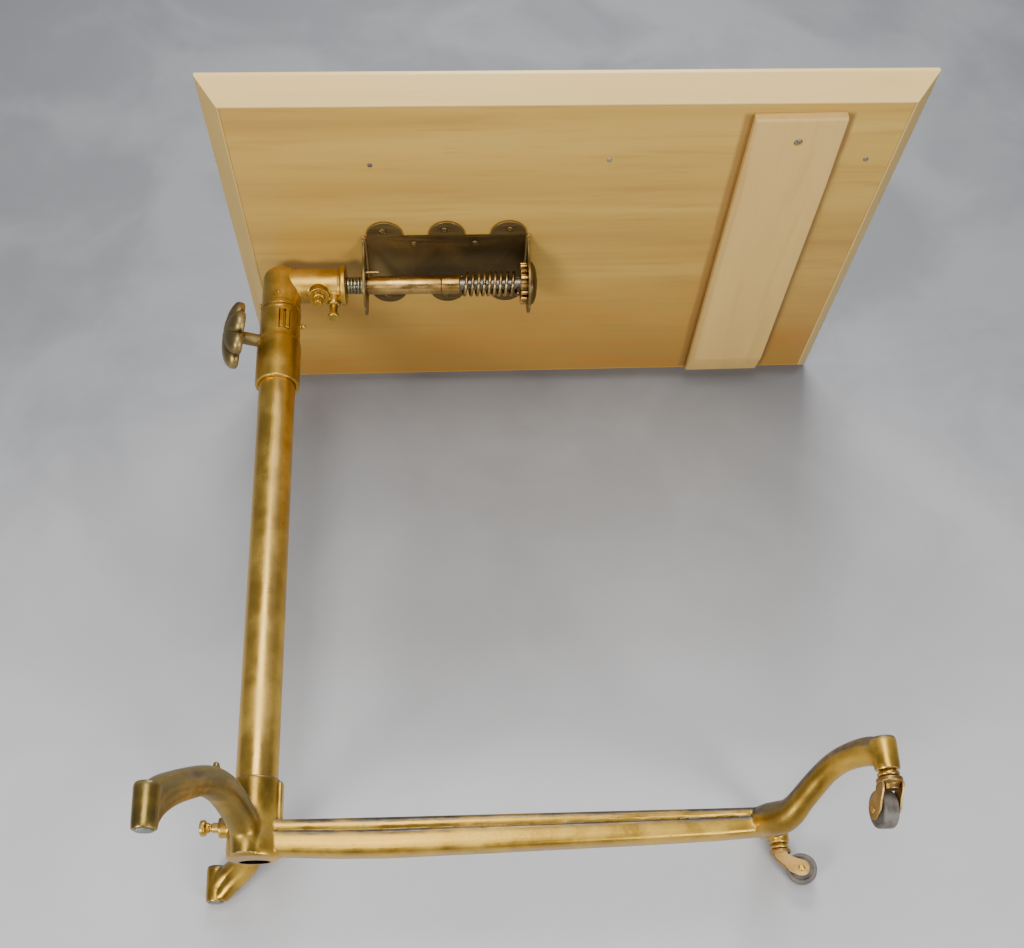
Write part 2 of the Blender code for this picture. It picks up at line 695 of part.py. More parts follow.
def table_panel():
    inset = EDGE_INSET + GAP
    x = (TABLE_X[0] + inset, TABLE_X[1] - inset)
    y = (-TABLE_HALF_DEPTH + inset, TABLE_HALF_DEPTH - inset)
    body = block(x, y, (TABLE_UNDERSIDE, TABLE_TOP))
    holes = [(x, side * y, 0.0021) for x, y in BRACKET_SCREWS for side in (-1, 1)]
    holes.append((*BATTEN_SCREW, 0.0021))
    holes += [(x, y, 0.0015) for x, y in BRADS]
    tools = [rod(radius, (x, y, 0.64), (x, y, 0.6675), 8) for x, y, radius in holes]
    return part("table_panel", "table_wood", cut(body, *tools))


def edge_moulding(name, start, end):
    """Mitred moulding with a bevelled underside, from one table corner to the next."""
    profile = (
        (0.0, TABLE_TOP - 0.0008), (0.0, EDGE_CORNER_Z), (EDGE_INSET - 0.0012, TABLE_UNDERSIDE - 0.0003),
        (EDGE_INSET, TABLE_UNDERSIDE), (EDGE_INSET, TABLE_TOP), (0.0008, TABLE_TOP),
    )
    middle = Vector((sum(TABLE_X) / 2, 0))
    along = (Vector(end) - Vector(start)).normalized()
    points = []
    for corner, way in ((Vector(start), 1), (Vector(end), -1)):
        inward = Vector([math.copysign(1, m - c) for m, c in zip(middle, corner)])
        for inset, height in profile:
            flat = corner + inset * inward + way * GAP / 2 * along
            points.append((flat.x, flat.y, height))
    count = len(profile)
    faces = [list(range(count)), list(range(2 * count - 1, count - 1, -1))]
    faces += [[i, i + count, (i + 1) % count + count, (i + 1) % count] for i in range(count)]
    mesh = bpy.data.meshes.new(name)
    mesh.from_pydata(points, [], faces)
    return part(name, "edge_wood", weld(add_object(mesh)))


def edge_mouldings():
    (x0, x1), y = TABLE_X, TABLE_HALF_DEPTH
    corners = ((x0, -y), (x1, -y), (x1, y), (x0, y))
    names = ("edge_moulding_near", "edge_moulding_right", "edge_moulding_far", "edge_moulding_left")
    return [edge_moulding(name, corners[i], corners[(i + 1) % 4]) for i, name in enumerate(names)]


def batten():
    """Long batten, thinned towards both ends, with a chamfered inner edge."""
    top = TABLE_UNDERSIDE - GAP
    low = top - BATTEN_THICKNESS
    end = BATTEN_END_Y
    outline = [
        (-end, top), (-end, top - 0.009), (-0.160, top - 0.0115), (-0.115, low), (0.165, low), (0.185, top - 0.0105),
        (end, top - 0.006), (end, top),
    ]
    body = upright_plate([outline], BATTEN_X)
    chamfer = block((-0.02, 0.02), (-0.3, 0.3), (-0.0035, 0.0035))
    chamfer.data.transform(Matrix.Translation((BATTEN_X[0], 0, low)) @ Matrix.Rotation(math.radians(45), 4, "Y"))
    centre = Vector((sum(BATTEN_X) / 2, 0, 0))
    turn = Matrix.Translation(centre) @ Matrix.Rotation(BATTEN_TURN, 4, "Z") @ Matrix.Translation(-centre)
    for obj in (body, chamfer):
        obj.data.transform(turn)
    x, y = BATTEN_SCREW
    shank_hole = rod(0.0021, (x, y, 0.60), (x, y, 0.70), 8)
    head_hole = rod(0.0044, (x, y, 0.60), (x, y, top - 0.0078), 12)
    return part("batten", "batten_wood", cut(body, chamfer, shank_hole, head_hole))


def batten_screw():
    x, y = BATTEN_SCREW
    seat = TABLE_UNDERSIDE - GAP - 0.0078
    profile = (
        (0, 0.6670), (0.0018, 0.6670), (0.0018, seat - 0.0004), (0.0040, seat - 0.0004), (0.0040, seat - 0.0018),
        (0, seat - 0.0022),
    )
    return part("batten_screw", "steel", turned(profile, (x, y, 0), segments=12))


def panel_brads():
    profile = (
        (0, 0.6640), (0.0012, 0.6640), (0.0012, TABLE_UNDERSIDE - 0.0001), (0.0028, TABLE_UNDERSIDE - 0.0001),
        (0.0024, TABLE_UNDERSIDE - 0.0007), (0, TABLE_UNDERSIDE - 0.0010),
    )
    return [
        part(f"panel_brad_{number}", "steel", turned(profile, (x, y, 0), segments=10))
        for number, (x, y) in enumerate(BRADS, 1)
    ]


# ---------- casters ----------

def caster_frame(side, label):
    """Matrix from a caster's own frame (stem on Z, wheel towards +X, floor at 0) to its foot."""
    x, y = foot_place(RIGHT_FOOT, side)
    return Matrix.Translation((x, y, FLOOR_Z)) @ Matrix.Rotation(CASTER_ANGLES[label], 4, "Z")


def caster_cup(side, label):
    """Ringed socket pressed into the foot, bored for the fork's pivot pin."""
    rim = RIGHT_RIM - FLOOR_Z - GAP
    profile = (
        (0, 0.0520), (0.0042, 0.0520), (0.0042, rim), (0.0082, rim), (0.0088, rim - 0.0006), (0.0088, 0.0371),
        (0.0082, 0.0365), (0.0030, 0.0365), (0.0030, 0.0465), (0, 0.0465),
    )
    body = turned(profile, segments=16)
    body.data.transform(caster_frame(side, label))
    return part("caster_cup_" + label, "steel", body)


def caster_cheek(side):
    """Teardrop plate from the crown down to the axle."""
    axle_z = CASTER_WHEEL_RADIUS
    outline = [
        (-0.0068, 0.0315), (-0.0060, 0.0260), *circle(CASTER_TRAIL, axle_z, 0.0055, 9, math.radians(-125), math.radians(180)),
        (0.0068, 0.0315),
    ]
    offset = CASTER_WHEEL_WIDTH / 2 + 0.0008 + CASTER_SHEET / 2
    upright = Matrix.Translation((0, side * offset, 0)) @ Matrix.Rotation(math.radians(90), 4, "X")
    hole = circle(CASTER_TRAIL, axle_z, 0.0021, 10)
    return plate([outline, hole], CASTER_SHEET, upright)


def caster_fork(side, label):
    crown = turned([
        (0, 0.0460), (0.0027, 0.0460), (0.0027, 0.0358), (0.0102, 0.0358), (0.0108, 0.0352), (0.0108, 0.0314),
        (0.0102, 0.0308), (0.0085, 0.0300), (0.0060, 0.0262), (0, 0.0262),
    ], segments=16)
    body = unite(crown, caster_cheek(-1), caster_cheek(1))
    body.data.transform(caster_frame(side, label))
    return part("caster_fork_" + label, "bronzed_iron", body)


def caster_axle(side, label):
    half = CASTER_WHEEL_WIDTH / 2 + 0.0008 + CASTER_SHEET + 0.0001
    profile = (
        (0, half + 0.0009), (0.0025, half + 0.0008), (0.0032, half), (0.0019, half), (0.0019, -half), (0.0032, -half),
        (0.0025, -half - 0.0008), (0, -half - 0.0009),
    )
    body = turned(profile, (CASTER_TRAIL, 0, CASTER_WHEEL_RADIUS), (0, 1, 0), 12)
    body.data.transform(caster_frame(side, label))
    return part("caster_axle_" + label, "steel", body)


def caster_wheel(side, label):
    half, radius = CASTER_WHEEL_WIDTH / 2, CASTER_WHEEL_RADIUS
    profile = (
        (0.0022, half), (0.0055, half), (0.0065, half - 0.0012), (0.0110, half - 0.0010), (0.0135, half - 0.0005),
        (radius, half - 0.0025), (radius, 0.0025 - half), (0.0135, 0.0005 - half), (0.0110, 0.0010 - half),
        (0.0065, 0.0012 - half), (0.0055, -half), (0.0022, -half),
    )
    body = turned(profile, (CASTER_TRAIL, 0, radius), (0, 1, 0), 20, ring=True)
    body.data.transform(caster_frame(side, label))
    return part("caster_wheel_" + label, "wheel_rubber", body)


# ---------- assembly ----------

def build():
    clear_scene()
    collection = bpy.data.collections.new("reading_stand")
    bpy.context.scene.collection.children.link(collection)
    make_materials()
    base_casting()
    outer_tube()
    collar()
    guide_key()
    collar_pin()
    for side, label in ((-1, "near"), (1, "far")):
        glide(side, label)
        caster_cup(side, label)
    pivot("hub_thumb_screw_axis", (-0.03, 0, THUMB_SCREW_Z), [hub_thumb_screw()])
    pivot("clamp_axis", Vector((0, 0, CLAMP_Z)) + KNOB_DISTANCE * CLAMP_DIRECTION, [clamp_screw(), clamp_knob()])
    pivot("column_slide", (0, 0, ELBOW_BOTTOM), [
        inner_tube(), elbow(), elbow_rivet(), elbow_side_screw(), spindle_set_screw(), lug_screw(), spindle(),
        threaded_bush(), spacer_sleeve(), spring_seat(), detent_spring(), wheel_key(),
    ])
    pivot("detent_slide", (WHEEL_X[0], 0, SPINDLE_Z), [detent_wheel()])
    pivot("tilt_axis", (BRACKET_X[0], 0, SPINDLE_Z), [
        bracket(), ear_cap(), stop_pin(), *bracket_screws(), table_panel(), *edge_mouldings(), batten(),
        batten_screw(), *panel_brads(),
    ])
    for side, label in ((-1, "near"), (1, "far")):
        frame = caster_frame(side, label)
        fork_parts = [caster_fork(side, label), caster_axle(side, label)]
        pivot("caster_stem_" + label, frame @ Vector((0, 0, RIGHT_RIM - FLOOR_Z)), fork_parts)
        axle = frame @ Vector((CASTER_TRAIL, 0, CASTER_WHEEL_RADIUS))
        pivot("caster_axle_line_" + label, axle, [caster_wheel(side, label)])


build()
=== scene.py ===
"""Old reading stand, as it looks from below its table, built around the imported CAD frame.

Lengths are in metres in the stand's own frame: floor at z = 0, post near the left end, table towards +X.
Shapes are written about the post (x = 0) with heights from a level just under the floor, and every finished
piece is moved to the post's place.
"""
from math import asin, cos, pi, radians, sin, tan, tau

import bmesh
import bpy
import numpy as np
from mathutils import Matrix, Vector


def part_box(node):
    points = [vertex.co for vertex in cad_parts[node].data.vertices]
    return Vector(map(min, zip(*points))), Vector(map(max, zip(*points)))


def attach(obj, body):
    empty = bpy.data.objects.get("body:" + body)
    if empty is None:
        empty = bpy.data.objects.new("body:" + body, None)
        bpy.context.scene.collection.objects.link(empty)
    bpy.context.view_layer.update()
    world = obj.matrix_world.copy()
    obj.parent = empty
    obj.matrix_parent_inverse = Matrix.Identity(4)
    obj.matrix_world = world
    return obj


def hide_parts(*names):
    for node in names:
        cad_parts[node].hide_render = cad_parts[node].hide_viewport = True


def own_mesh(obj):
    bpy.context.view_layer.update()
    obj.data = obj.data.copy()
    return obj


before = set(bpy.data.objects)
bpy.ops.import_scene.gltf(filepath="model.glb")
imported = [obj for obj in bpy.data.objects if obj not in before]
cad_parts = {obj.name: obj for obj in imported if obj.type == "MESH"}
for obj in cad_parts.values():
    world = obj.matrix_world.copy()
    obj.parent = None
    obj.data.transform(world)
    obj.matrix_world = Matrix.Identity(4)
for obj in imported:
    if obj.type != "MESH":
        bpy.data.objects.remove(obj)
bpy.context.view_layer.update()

# The post's place in the stand's frame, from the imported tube.
POST_X = (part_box("outer_tube")[0][0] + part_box("outer_tube")[1][0]) / 2
FLOOR_Z = 0.0055
TO_FRAME = Matrix.Translation((POST_X, 0, -FLOOR_Z))
GAP = 0.0003
SIDES = ((-1, "near"), (1, "far"))

# ---------- camera ----------

CAMERA_PLACE = TO_FRAME @ Vector((0.1749, -0.9666, -0.1720))
CAMERA_YAW = radians(2.126)
CAMERA_PITCH = radians(24.025)
CAMERA_ROLL = radians(2.167)
CAMERA_LENS = 39.34
CAMERA_SHIFT = (0.0211, 0.1162)


def add_camera():
    forward = Vector((
        sin(CAMERA_YAW) * cos(CAMERA_PITCH),
        cos(CAMERA_YAW) * cos(CAMERA_PITCH),
        sin(CAMERA_PITCH),
    ))
    level_right = Vector((cos(CAMERA_YAW), -sin(CAMERA_YAW), 0))
    level_down = -level_right.cross(forward)
    right = cos(CAMERA_ROLL) * level_right + sin(CAMERA_ROLL) * level_down
    down = -sin(CAMERA_ROLL) * level_right + cos(CAMERA_ROLL) * level_down
    data = bpy.data.cameras.new("camera")
    data.lens = CAMERA_LENS
    data.shift_x, data.shift_y = CAMERA_SHIFT
    data.clip_start = 0.01
    camera = bpy.data.objects.new("camera", data)
    bpy.context.scene.collection.objects.link(camera)
    turn = Matrix((right, -down, -forward)).transposed().to_4x4()
    camera.matrix_world = Matrix.Translation(CAMERA_PLACE) @ turn
    bpy.context.scene.camera = camera


# ---------- node material tools ----------

class Nodes:
    """A material's node tree, with short calls that add a node and return its output."""

    def __init__(self, name):
        self.material = bpy.data.materials.new(name)
        self.material.use_nodes = True
        self.tree = self.material.node_tree
        self.shader = self.tree.nodes["Principled BSDF"]
        self.place = self.add("ShaderNodeTexCoord").outputs["Object"]

    def add(self, kind, inputs=None, **settings):
        node = self.tree.nodes.new(kind)
        for key, value in settings.items():
            setattr(node, key, value)
        for socket, value in (inputs or {}).items():
            self.feed(node.inputs[socket], value)
        return node

    def feed(self, socket, value):
        if isinstance(value, bpy.types.NodeSocket):
            self.tree.links.new(value, socket)
        elif isinstance(value, tuple) and len(value) == 3 and socket.type == "RGBA":
            socket.default_value = (*value, 1.0)
        else:
            socket.default_value = value

    def noise(self, scale, detail=4.0, stretch=(1, 1, 1), distortion=0.0):
        place = self.add("ShaderNodeMapping", {"Vector": self.place, "Scale": stretch}).outputs["Vector"]
        inputs = {"Vector": place, "Scale": scale, "Detail": detail, "Distortion": distortion}
        return self.add("ShaderNodeTexNoise", {**inputs, "Roughness": 0.55}).outputs["Fac"]

    def ramp(self, value, *stops):
        node = self.add("ShaderNodeValToRGB", {"Fac": value})
        elements = node.color_ramp.elements
        while len(elements) < len(stops):
            elements.new(0.5)
        for element, (position, colour) in zip(elements, stops):
            element.position = position
            element.color = (*colour, 1.0)
        return node.outputs["Color"]

    def mix(self, share, first, second):
        inputs = {"Factor": share, "A": first, "B": second}
        return self.add("ShaderNodeMix", inputs, data_type="RGBA").outputs["Result"]

    def maths(self, operation, first, second=0.0):
        return self.add("ShaderNodeMath", {0: first, 1: second}, operation=operation).outputs["Value"]

    def times(self, first, second):
        return self.maths("MULTIPLY", first, second)

    def minus(self, first, second):
        return self.maths("SUBTRACT", first, second)

    def between(self, value, low, high, to_low=0.0, to_high=1.0):
        inputs = {"Value": value, "From Min": low, "From Max": high, "To Min": to_low, "To Max": to_high}
        return self.add("ShaderNodeMapRange", inputs, interpolation_type="SMOOTHSTEP").outputs["Result"]

    def split(self, vector):
        return self.add("ShaderNodeSeparateXYZ", {"Vector": vector}).outputs

    def normal(self):
        return self.add("ShaderNodeNewGeometry").outputs["Normal"]

    def edges(self):
        return self.add("ShaderNodeNewGeometry").outputs["Pointiness"]

    def bump(self, height, distance, strength=1.0):
        inputs = {"Height": height, "Distance": distance, "Strength": strength}
        return self.add("ShaderNodeBump", inputs).outputs["Normal"]

    def finish(self, colour, roughness, metallic=0.0, normal=None, **constants):
        self.feed(self.shader.inputs["Base Color"], colour)
        self.feed(self.shader.inputs["Roughness"], roughness)
        self.feed(self.shader.inputs["Metallic"], metallic)
        if normal is not None:
            self.feed(self.shader.inputs["Normal"], normal)
        for name, value in constants.items():
            self.shader.inputs[name.replace("_", " ")].default_value = value
        return self.material


# ---------- materials ----------

def gold_bronze(name, light, dark, top_shade_and_wear=0.0, grime=0.5, roughness=0.36):
    """Gold bronze paint on cast iron: mottled, dark in patches, and darker and less metallic on upward faces
    where top_shade_and_wear is set, painted shade there together with worn paint.
    """
    n = Nodes(name)
    cloud = n.noise(28, 5)
    patch = n.noise(9, 3, distortion=0.6)
    speck = n.noise(420, 3)
    colour = n.mix(n.between(cloud, 0.35, 0.68), dark, light)
    colour = n.mix(n.times(n.between(patch, 0.52, 0.72), grime), colour, (0.10, 0.065, 0.018))
    colour = n.mix(n.times(n.between(speck, 0.62, 0.75), 0.55), colour, (0.06, 0.038, 0.014))
    rim = n.between(n.edges(), 0.505, 0.56)
    colour = n.mix(n.times(rim, 0.35), colour, (0.70, 0.50, 0.22))
    # Painted shade: concave creases and grooves darkened to near black.
    crease_shade = n.between(n.edges(), 0.495, 0.44)
    colour = n.mix(n.times(crease_shade, 0.8), colour, (0.045, 0.028, 0.010))
    metal = bright = 0.92
    rough = n.between(cloud, 0.3, 0.7, roughness - 0.06, roughness + 0.12)
    # Painted shade on upward faces, together with worn paint there: darker and less metallic.
    if top_shade_and_wear:
        up = n.between(n.split(n.normal())["Z"], -0.05, 0.38)
        dark_top_mask = n.times(up, n.between(n.noise(16, 4), 0.32, 0.60, 0.55, 1.0))
        dark_top_mask = n.times(dark_top_mask, top_shade_and_wear)
        dark_top_colour = n.ramp(n.noise(120, 4), (0.35, (0.024, 0.020, 0.016)), (0.7, (0.085, 0.068, 0.050)))
        colour = n.mix(dark_top_mask, colour, dark_top_colour)
        metal = n.minus(bright, n.times(dark_top_mask, 0.75))
        colour = n.mix(olive_leg(n), colour, (0.14, 0.108, 0.038))
        # Painted shade: the inside of the hub's bore near black.
        colour = n.mix(hub_bore_shade(n), colour, (0.010, 0.008, 0.006))
    height = n.maths("ADD", n.noise(300, 4), n.times(n.noise(900, 2), 0.4))
    return n.finish(colour, rough, metal, n.bump(height, 0.0002, 0.5))


def olive_leg(n):
    """Share of the olive patina, which is heaviest on the near left leg."""
    place = n.split(n.place)
    out = n.times(n.between(place["Y"], -0.012, -0.045), n.between(place["X"], -0.15, -0.25))
    return n.times(out, n.between(n.noise(22, 3, distortion=0.5), 0.35, 0.62, 0.25, 0.85))


def hub_bore_shade(n):
    """1 on the wall of the hub's bore, which is wider across than deep: painted shade that makes the bore
    near black.
    """
    place = n.split(n.place)
    across = n.minus(place["X"], POST_X)
    deep = n.maths("DIVIDE", n.minus(place["Y"], HUB_BORE_Y), HUB_BORE_FLATTEN)
    squares = n.maths("ADD", n.times(across, across), n.times(deep, deep))
    return n.between(squares, (HUB_BORE_RADIUS + 0.0012) ** 2, (HUB_BORE_RADIUS + 0.0005) ** 2)


def lacquered_sheet(name):
    """Dark bronze lacquer on sheet metal, rubbed to brass along its edges."""
    n = Nodes(name)
    cloud = n.noise(22, 4, distortion=0.4)
    colour = n.ramp(
        cloud, (0.30, (0.055, 0.034, 0.010)), (0.55, (0.095, 0.060, 0.017)), (0.78, (0.16, 0.10, 0.030)))
    rim = n.between(n.edges(), 0.51, 0.56)
    colour = n.mix(n.times(rim, 0.7), colour, (0.50, 0.34, 0.12))
    rough = n.between(cloud, 0.3, 0.75, 0.34, 0.5)
    return n.finish(colour, rough, 0.85, n.bump(n.noise(500, 3), 0.0001, 0.5))


def turned_brass(name, light, dark, roughness=0.3):
    n = Nodes(name)
    cloud = n.noise(45, 4)
    lines = n.noise(70, 3, stretch=(1, 3, 3))
    colour = n.mix(n.between(cloud, 0.32, 0.7), dark, light)
    # Painted shade: concave creases and thread grooves darkened to near black.
    crease_shade = n.between(n.edges(), 0.495, 0.43)
    colour = n.mix(n.times(crease_shade, 0.75), colour, (0.05, 0.033, 0.012))
    rough = n.between(lines, 0.3, 0.7, roughness - 0.08, roughness + 0.12)
    return n.finish(colour, rough, 1.0, n.bump(lines, 0.00006, 0.6))


def dull_steel(name, light, dark, roughness=0.4):
    n = Nodes(name)
    cloud = n.noise(70, 4)
    colour = n.mix(n.between(cloud, 0.35, 0.68), dark, light)
    spot = n.between(n.noise(240, 3), 0.6, 0.74)
    colour = n.mix(n.times(spot, 0.6), colour, (0.10, 0.06, 0.03))
    rough = n.between(cloud, 0.3, 0.7, roughness - 0.08, roughness + 0.12)
    return n.finish(colour, rough, 0.9, n.bump(n.noise(500, 3), 0.00008, 0.5))


def batten_shadow(n):
    """1 in the painted shadow along both sides of the batten, on faces that look down."""
    place = n.split(n.place)
    centre = sum(BATTEN_X) / 2 + POST_X
    lean = n.times(place["Y"], -tan(BATTEN_TURN))
    across = n.maths("ABSOLUTE", n.minus(n.minus(place["X"], centre), lean))
    outside = n.minus(across, (BATTEN_X[1] - BATTEN_X[0]) / 2)
    wander = n.times(n.noise(30, 3), 0.004)
    beside = n.between(n.maths("ADD", outside, wander), 0.0135, 0.0085)
    along = n.between(n.maths("ABSOLUTE", place["Y"]), BATTEN_END_Y + 0.002, BATTEN_END_Y - 0.004)
    underneath = n.between(n.split(n.normal())["Z"], -0.2, -0.6)
    return n.times(n.times(beside, along), underneath)


def wood(name, pale, mid, deep, along, line_strength=0.5, gloss=0.42, warm_far=0.0):
    """Varnished wood with its grain along one axis; warm_far sets how much warmer its far side is."""
    n = Nodes(name)
    stretch = tuple(0.055 if axis == along else 1.0 for axis in range(3))
    broad = n.noise(11, 5, stretch, distortion=0.5)
    fine = n.noise(95, 6, stretch, distortion=0.2)
    pores = n.noise(330, 3, stretch)
    cloud = n.noise(5, 3)
    colour = n.ramp(broad, (0.30, deep), (0.48, mid), (0.68, pale))
    colour = n.mix(n.times(n.between(fine, 0.50, 0.70), line_strength), colour, deep)
    colour = n.mix(n.times(n.between(pores, 0.60, 0.72), line_strength * 0.7), colour, deep)
    colour = n.mix(n.between(cloud, 0.42, 0.70, 0.0, 0.35), colour, mid)
    if warm_far:
        place = n.split(n.place)
        wander = n.times(n.minus(n.noise(6, 3), 0.5), 0.22)
        far = n.between(n.maths("ADD", place["Y"], wander), -0.02, 0.20)
        warm_grain = n.mix(n.between(fine, 0.4, 0.65), (0.43, 0.180, 0.016), deep)
        colour = n.mix(n.times(far, warm_far), colour, warm_grain)
        # Painted shadow of the batten, brown, along both its sides on the underside.
        colour = n.mix(n.times(batten_shadow(n), 0.85), colour, (0.26, 0.135, 0.030))
    rough = n.between(broad, 0.3, 0.7, gloss, gloss + 0.12)
    height = n.maths("ADD", fine, n.times(pores, 0.5))
    return n.finish(colour, rough, 0.0, n.bump(height, 0.00025, 0.35), Specular_IOR_Level=0.45)


def worn_rubber(name):
    n = Nodes(name)
    colour = n.ramp(n.noise(90, 4), (0.35, (0.060, 0.052, 0.044)), (0.7, (0.17, 0.148, 0.122)))
    rough = n.between(n.noise(90, 3), 0.3, 0.7, 0.45, 0.7)
    return n.finish(colour, rough, 0.0, n.bump(n.noise(700, 3), 0.0002, 0.5))


def make_materials():
    """Metals by light and dark tone; woods by pale, middle and deep tone, and grain axis."""
    return {
        "post": gold_bronze("gold_bronze_tube", (0.72, 0.45, 0.072), (0.52, 0.29, 0.030), 0.0, 0.25, 0.33),
        "casting": gold_bronze("gold_bronze_casting", (0.66, 0.41, 0.066), (0.42, 0.24, 0.030),
                               top_shade_and_wear=1.0, roughness=0.35),
        "fitting": gold_bronze("gold_bronze_fitting", (0.66, 0.415, 0.078), (0.44, 0.26, 0.036), grime=0.35),
        "knob": gold_bronze("gold_bronze_knob", (0.30, 0.22, 0.085), (0.16, 0.115, 0.040), 0.0, 0.6, 0.40),
        "yoke": gold_bronze("gold_bronze_yoke", (0.46, 0.28, 0.085), (0.27, 0.15, 0.035), 0.0, 0.6, 0.42),
        "bracket": lacquered_sheet("bronze_lacquer"),
        "brass": turned_brass("aged_brass", (0.60, 0.38, 0.13), (0.38, 0.22, 0.06)),
        "bush": turned_brass("nickel_bush", (0.30, 0.285, 0.20), (0.15, 0.14, 0.09), 0.34),
        "spring": turned_brass("spring_wire", (0.50, 0.36, 0.15), (0.26, 0.18, 0.07)),
        "steel": dull_steel("dull_steel", (0.42, 0.37, 0.28), (0.20, 0.17, 0.12)),
        "glide": dull_steel("glide_steel", (0.30, 0.31, 0.30), (0.16, 0.165, 0.16), 0.5),
        "table": wood("table_wood", (0.60, 0.390, 0.088), (0.505, 0.305, 0.057), (0.38, 0.205, 0.034), 0,
                      warm_far=0.85),
        "edge": wood("edge_wood", (0.93, 0.68, 0.275), (0.86, 0.59, 0.215), (0.72, 0.46, 0.150),
                     0, 0.25, 0.40),
        "edge_across": wood("edge_wood_across", (0.62, 0.43, 0.140), (0.54, 0.36, 0.105), (0.43, 0.27, 0.070),
                            1, 0.25),
        "batten": wood("batten_wood", (0.68, 0.455, 0.148), (0.60, 0.385, 0.114), (0.47, 0.28, 0.076),
                       1, 0.3, 0.5),
        "rubber": worn_rubber("worn_rubber"),
    }


# ---------- mesh tools ----------

def link(mesh):
    obj = bpy.data.objects.new("piece", mesh)
    bpy.context.scene.collection.objects.link(obj)
    return obj


def mesh_of(points, faces):
    mesh = bpy.data.meshes.new("piece")
    mesh.from_pydata([tuple(p) for p in points], [], faces)
    return link(mesh)


def baked(obj):
    """Replace an object by its evaluated mesh, in world coordinates."""
    graph = bpy.context.evaluated_depsgraph_get()
    mesh = bpy.data.meshes.new_from_object(obj.evaluated_get(graph))
    mesh.transform(obj.matrix_world)
    bpy.data.objects.remove(obj)
    return link(mesh)


def tidy(obj):
    bm = bmesh.new()
    bm.from_mesh(obj.data)
    bmesh.ops.remove_doubles(bm, verts=bm.verts, dist=0.000002)
    bmesh.ops.dissolve_degenerate(bm, edges=bm.edges, dist=0.000002)
    bmesh.ops.recalc_face_normals(bm, faces=bm.faces)
    bm.to_mesh(obj.data)
    bm.free()
    return obj


def combine(obj, operation, *tools):
    for tool in tools:
        modifier = obj.modifiers.new("combine", "BOOLEAN")
        modifier.operation = operation
        modifier.object = tool
        obj = tidy(baked(obj))
        bpy.data.objects.remove(tool)
    return obj


def cut(obj, *tools):
    return combine(obj, "DIFFERENCE", *tools)


def bevelled(obj, width, segments=2, angle=40):
    modifier = obj.modifiers.new("bevel", "BEVEL")
    modifier.width = width
    modifier.segments = segments
    modifier.limit_method = "ANGLE"
    modifier.angle_limit = radians(angle)
    return baked(obj)


def placement(origin, direction):
    turn = Vector(direction).to_track_quat("Z", "Y").to_matrix().to_4x4()
    return Matrix.Translation(origin) @ turn


def softened(profile, radius, steps=3):
    """Round the corners of an open profile; its first and last points stay."""
    points = [Vector(p) for p in profile]
    out = [points[0]]
    for before, corner, after in zip(points, points[1:], points[2:]):
        reach = min(radius, 0.45 * (corner - before).length, 0.45 * (after - corner).length)
        start = corner + (before - corner).normalized() * reach
        end = corner + (after - corner).normalized() * reach
        for i in range(steps + 1):
            t = i / steps
            out.append((1 - t) ** 2 * start + 2 * t * (1 - t) * corner + t ** 2 * end)
    out.append(points[-1])
    return [(p.x, p.y) for p in out]


def lathe(profile, origin=(0, 0, 0), direction=(0, 0, 1), segments=64, radius=0.0004, bore=0):
    """Turn a (radius, height) profile, top to bottom down the outer side, with softened corners.

    Each end runs level in to the axis, or to the wall of the bore where there is one.
    """
    profile = [(bore, profile[0][1])] * (profile[0][0] > bore) + profile
    profile += [(bore, profile[-1][1])] * (profile[-1][0] > bore)
    if bore:
        soft = softened([profile[-1], *profile, profile[0]], radius)[1:-1]
    else:
        soft = softened(profile, radius)
    points, rings = [], []
    for r, height in soft:
        if r < 0.00001:
            rings.append([len(points)])
            points.append((0, 0, height))
            continue
        rings.append(list(range(len(points), len(points) + segments)))
        for i in range(segments):
            angle = tau * i / segments
            points.append((r * cos(angle), r * sin(angle), height))
    faces = []
    pairs = list(zip(rings, rings[1:]))
    if bore:
        pairs.append((rings[-1], rings[0]))
    for upper, lower in pairs:
        for i in range(segments):
            corners = ((upper, i), (lower, i), (lower, i + 1), (upper, i + 1))
            face = list(dict.fromkeys(row[place % len(row)] for row, place in corners))
            if len(face) > 2:
                faces.append(face)
    obj = tidy(mesh_of(points, faces))
    obj.data.transform(placement(origin, direction))
    return obj


def rod(radius, start, end, segments=32):
    along = Vector(end) - Vector(start)
    return lathe([(radius, along.length), (radius, 0)], start, along, segments, 0.0)


def block(x, y, z, turn_z=0.0, bevel=0.0):
    bm = bmesh.new()
    bmesh.ops.create_cube(bm, size=1.0)
    middle = Vector([(low + high) / 2 for low, high in (x, y, z)])
    size = Vector([high - low for low, high in (x, y, z)])
    bm.transform(Matrix.Translation(middle) @ Matrix.Diagonal(size).to_4x4())
    if bevel:
        bmesh.ops.bevel(bm, geom=bm.edges, offset=bevel, segments=3, profile=0.5, affect="EDGES")
    bm.transform(Matrix.Rotation(turn_z, 4, "Z"))
    mesh = bpy.data.meshes.new("piece")
    bm.to_mesh(mesh)
    bm.free()
    return link(mesh)


def circle(x, y, radius, count=32, start=0.0, sweep=tau):
    steps = count if sweep == tau else count - 1
    angles = [start + sweep * i / steps for i in range(count)]
    return [(x + radius * cos(a), y + radius * sin(a)) for a in angles]


def sheet(outlines, thickness, matrix, edge=0.0):
    """Flat outline with holes, given a thickness and rounded edges."""
    curve = bpy.data.curves.new("outline", "CURVE")
    curve.dimensions = "2D"
    curve.fill_mode = "BOTH"
    curve.extrude = thickness / 2 - edge
    curve.bevel_depth = edge
    curve.bevel_resolution = 2
    curve.offset = -edge
    for outline in outlines:
        spline = curve.splines.new("POLY")
        spline.points.add(len(outline) - 1)
        for point, (x, y) in zip(spline.points, outline):
            point.co = (x, y, 0, 1)
        spline.use_cyclic_u = True
    obj = tidy(baked(link(curve)))
    obj.data.transform(matrix)
    return obj


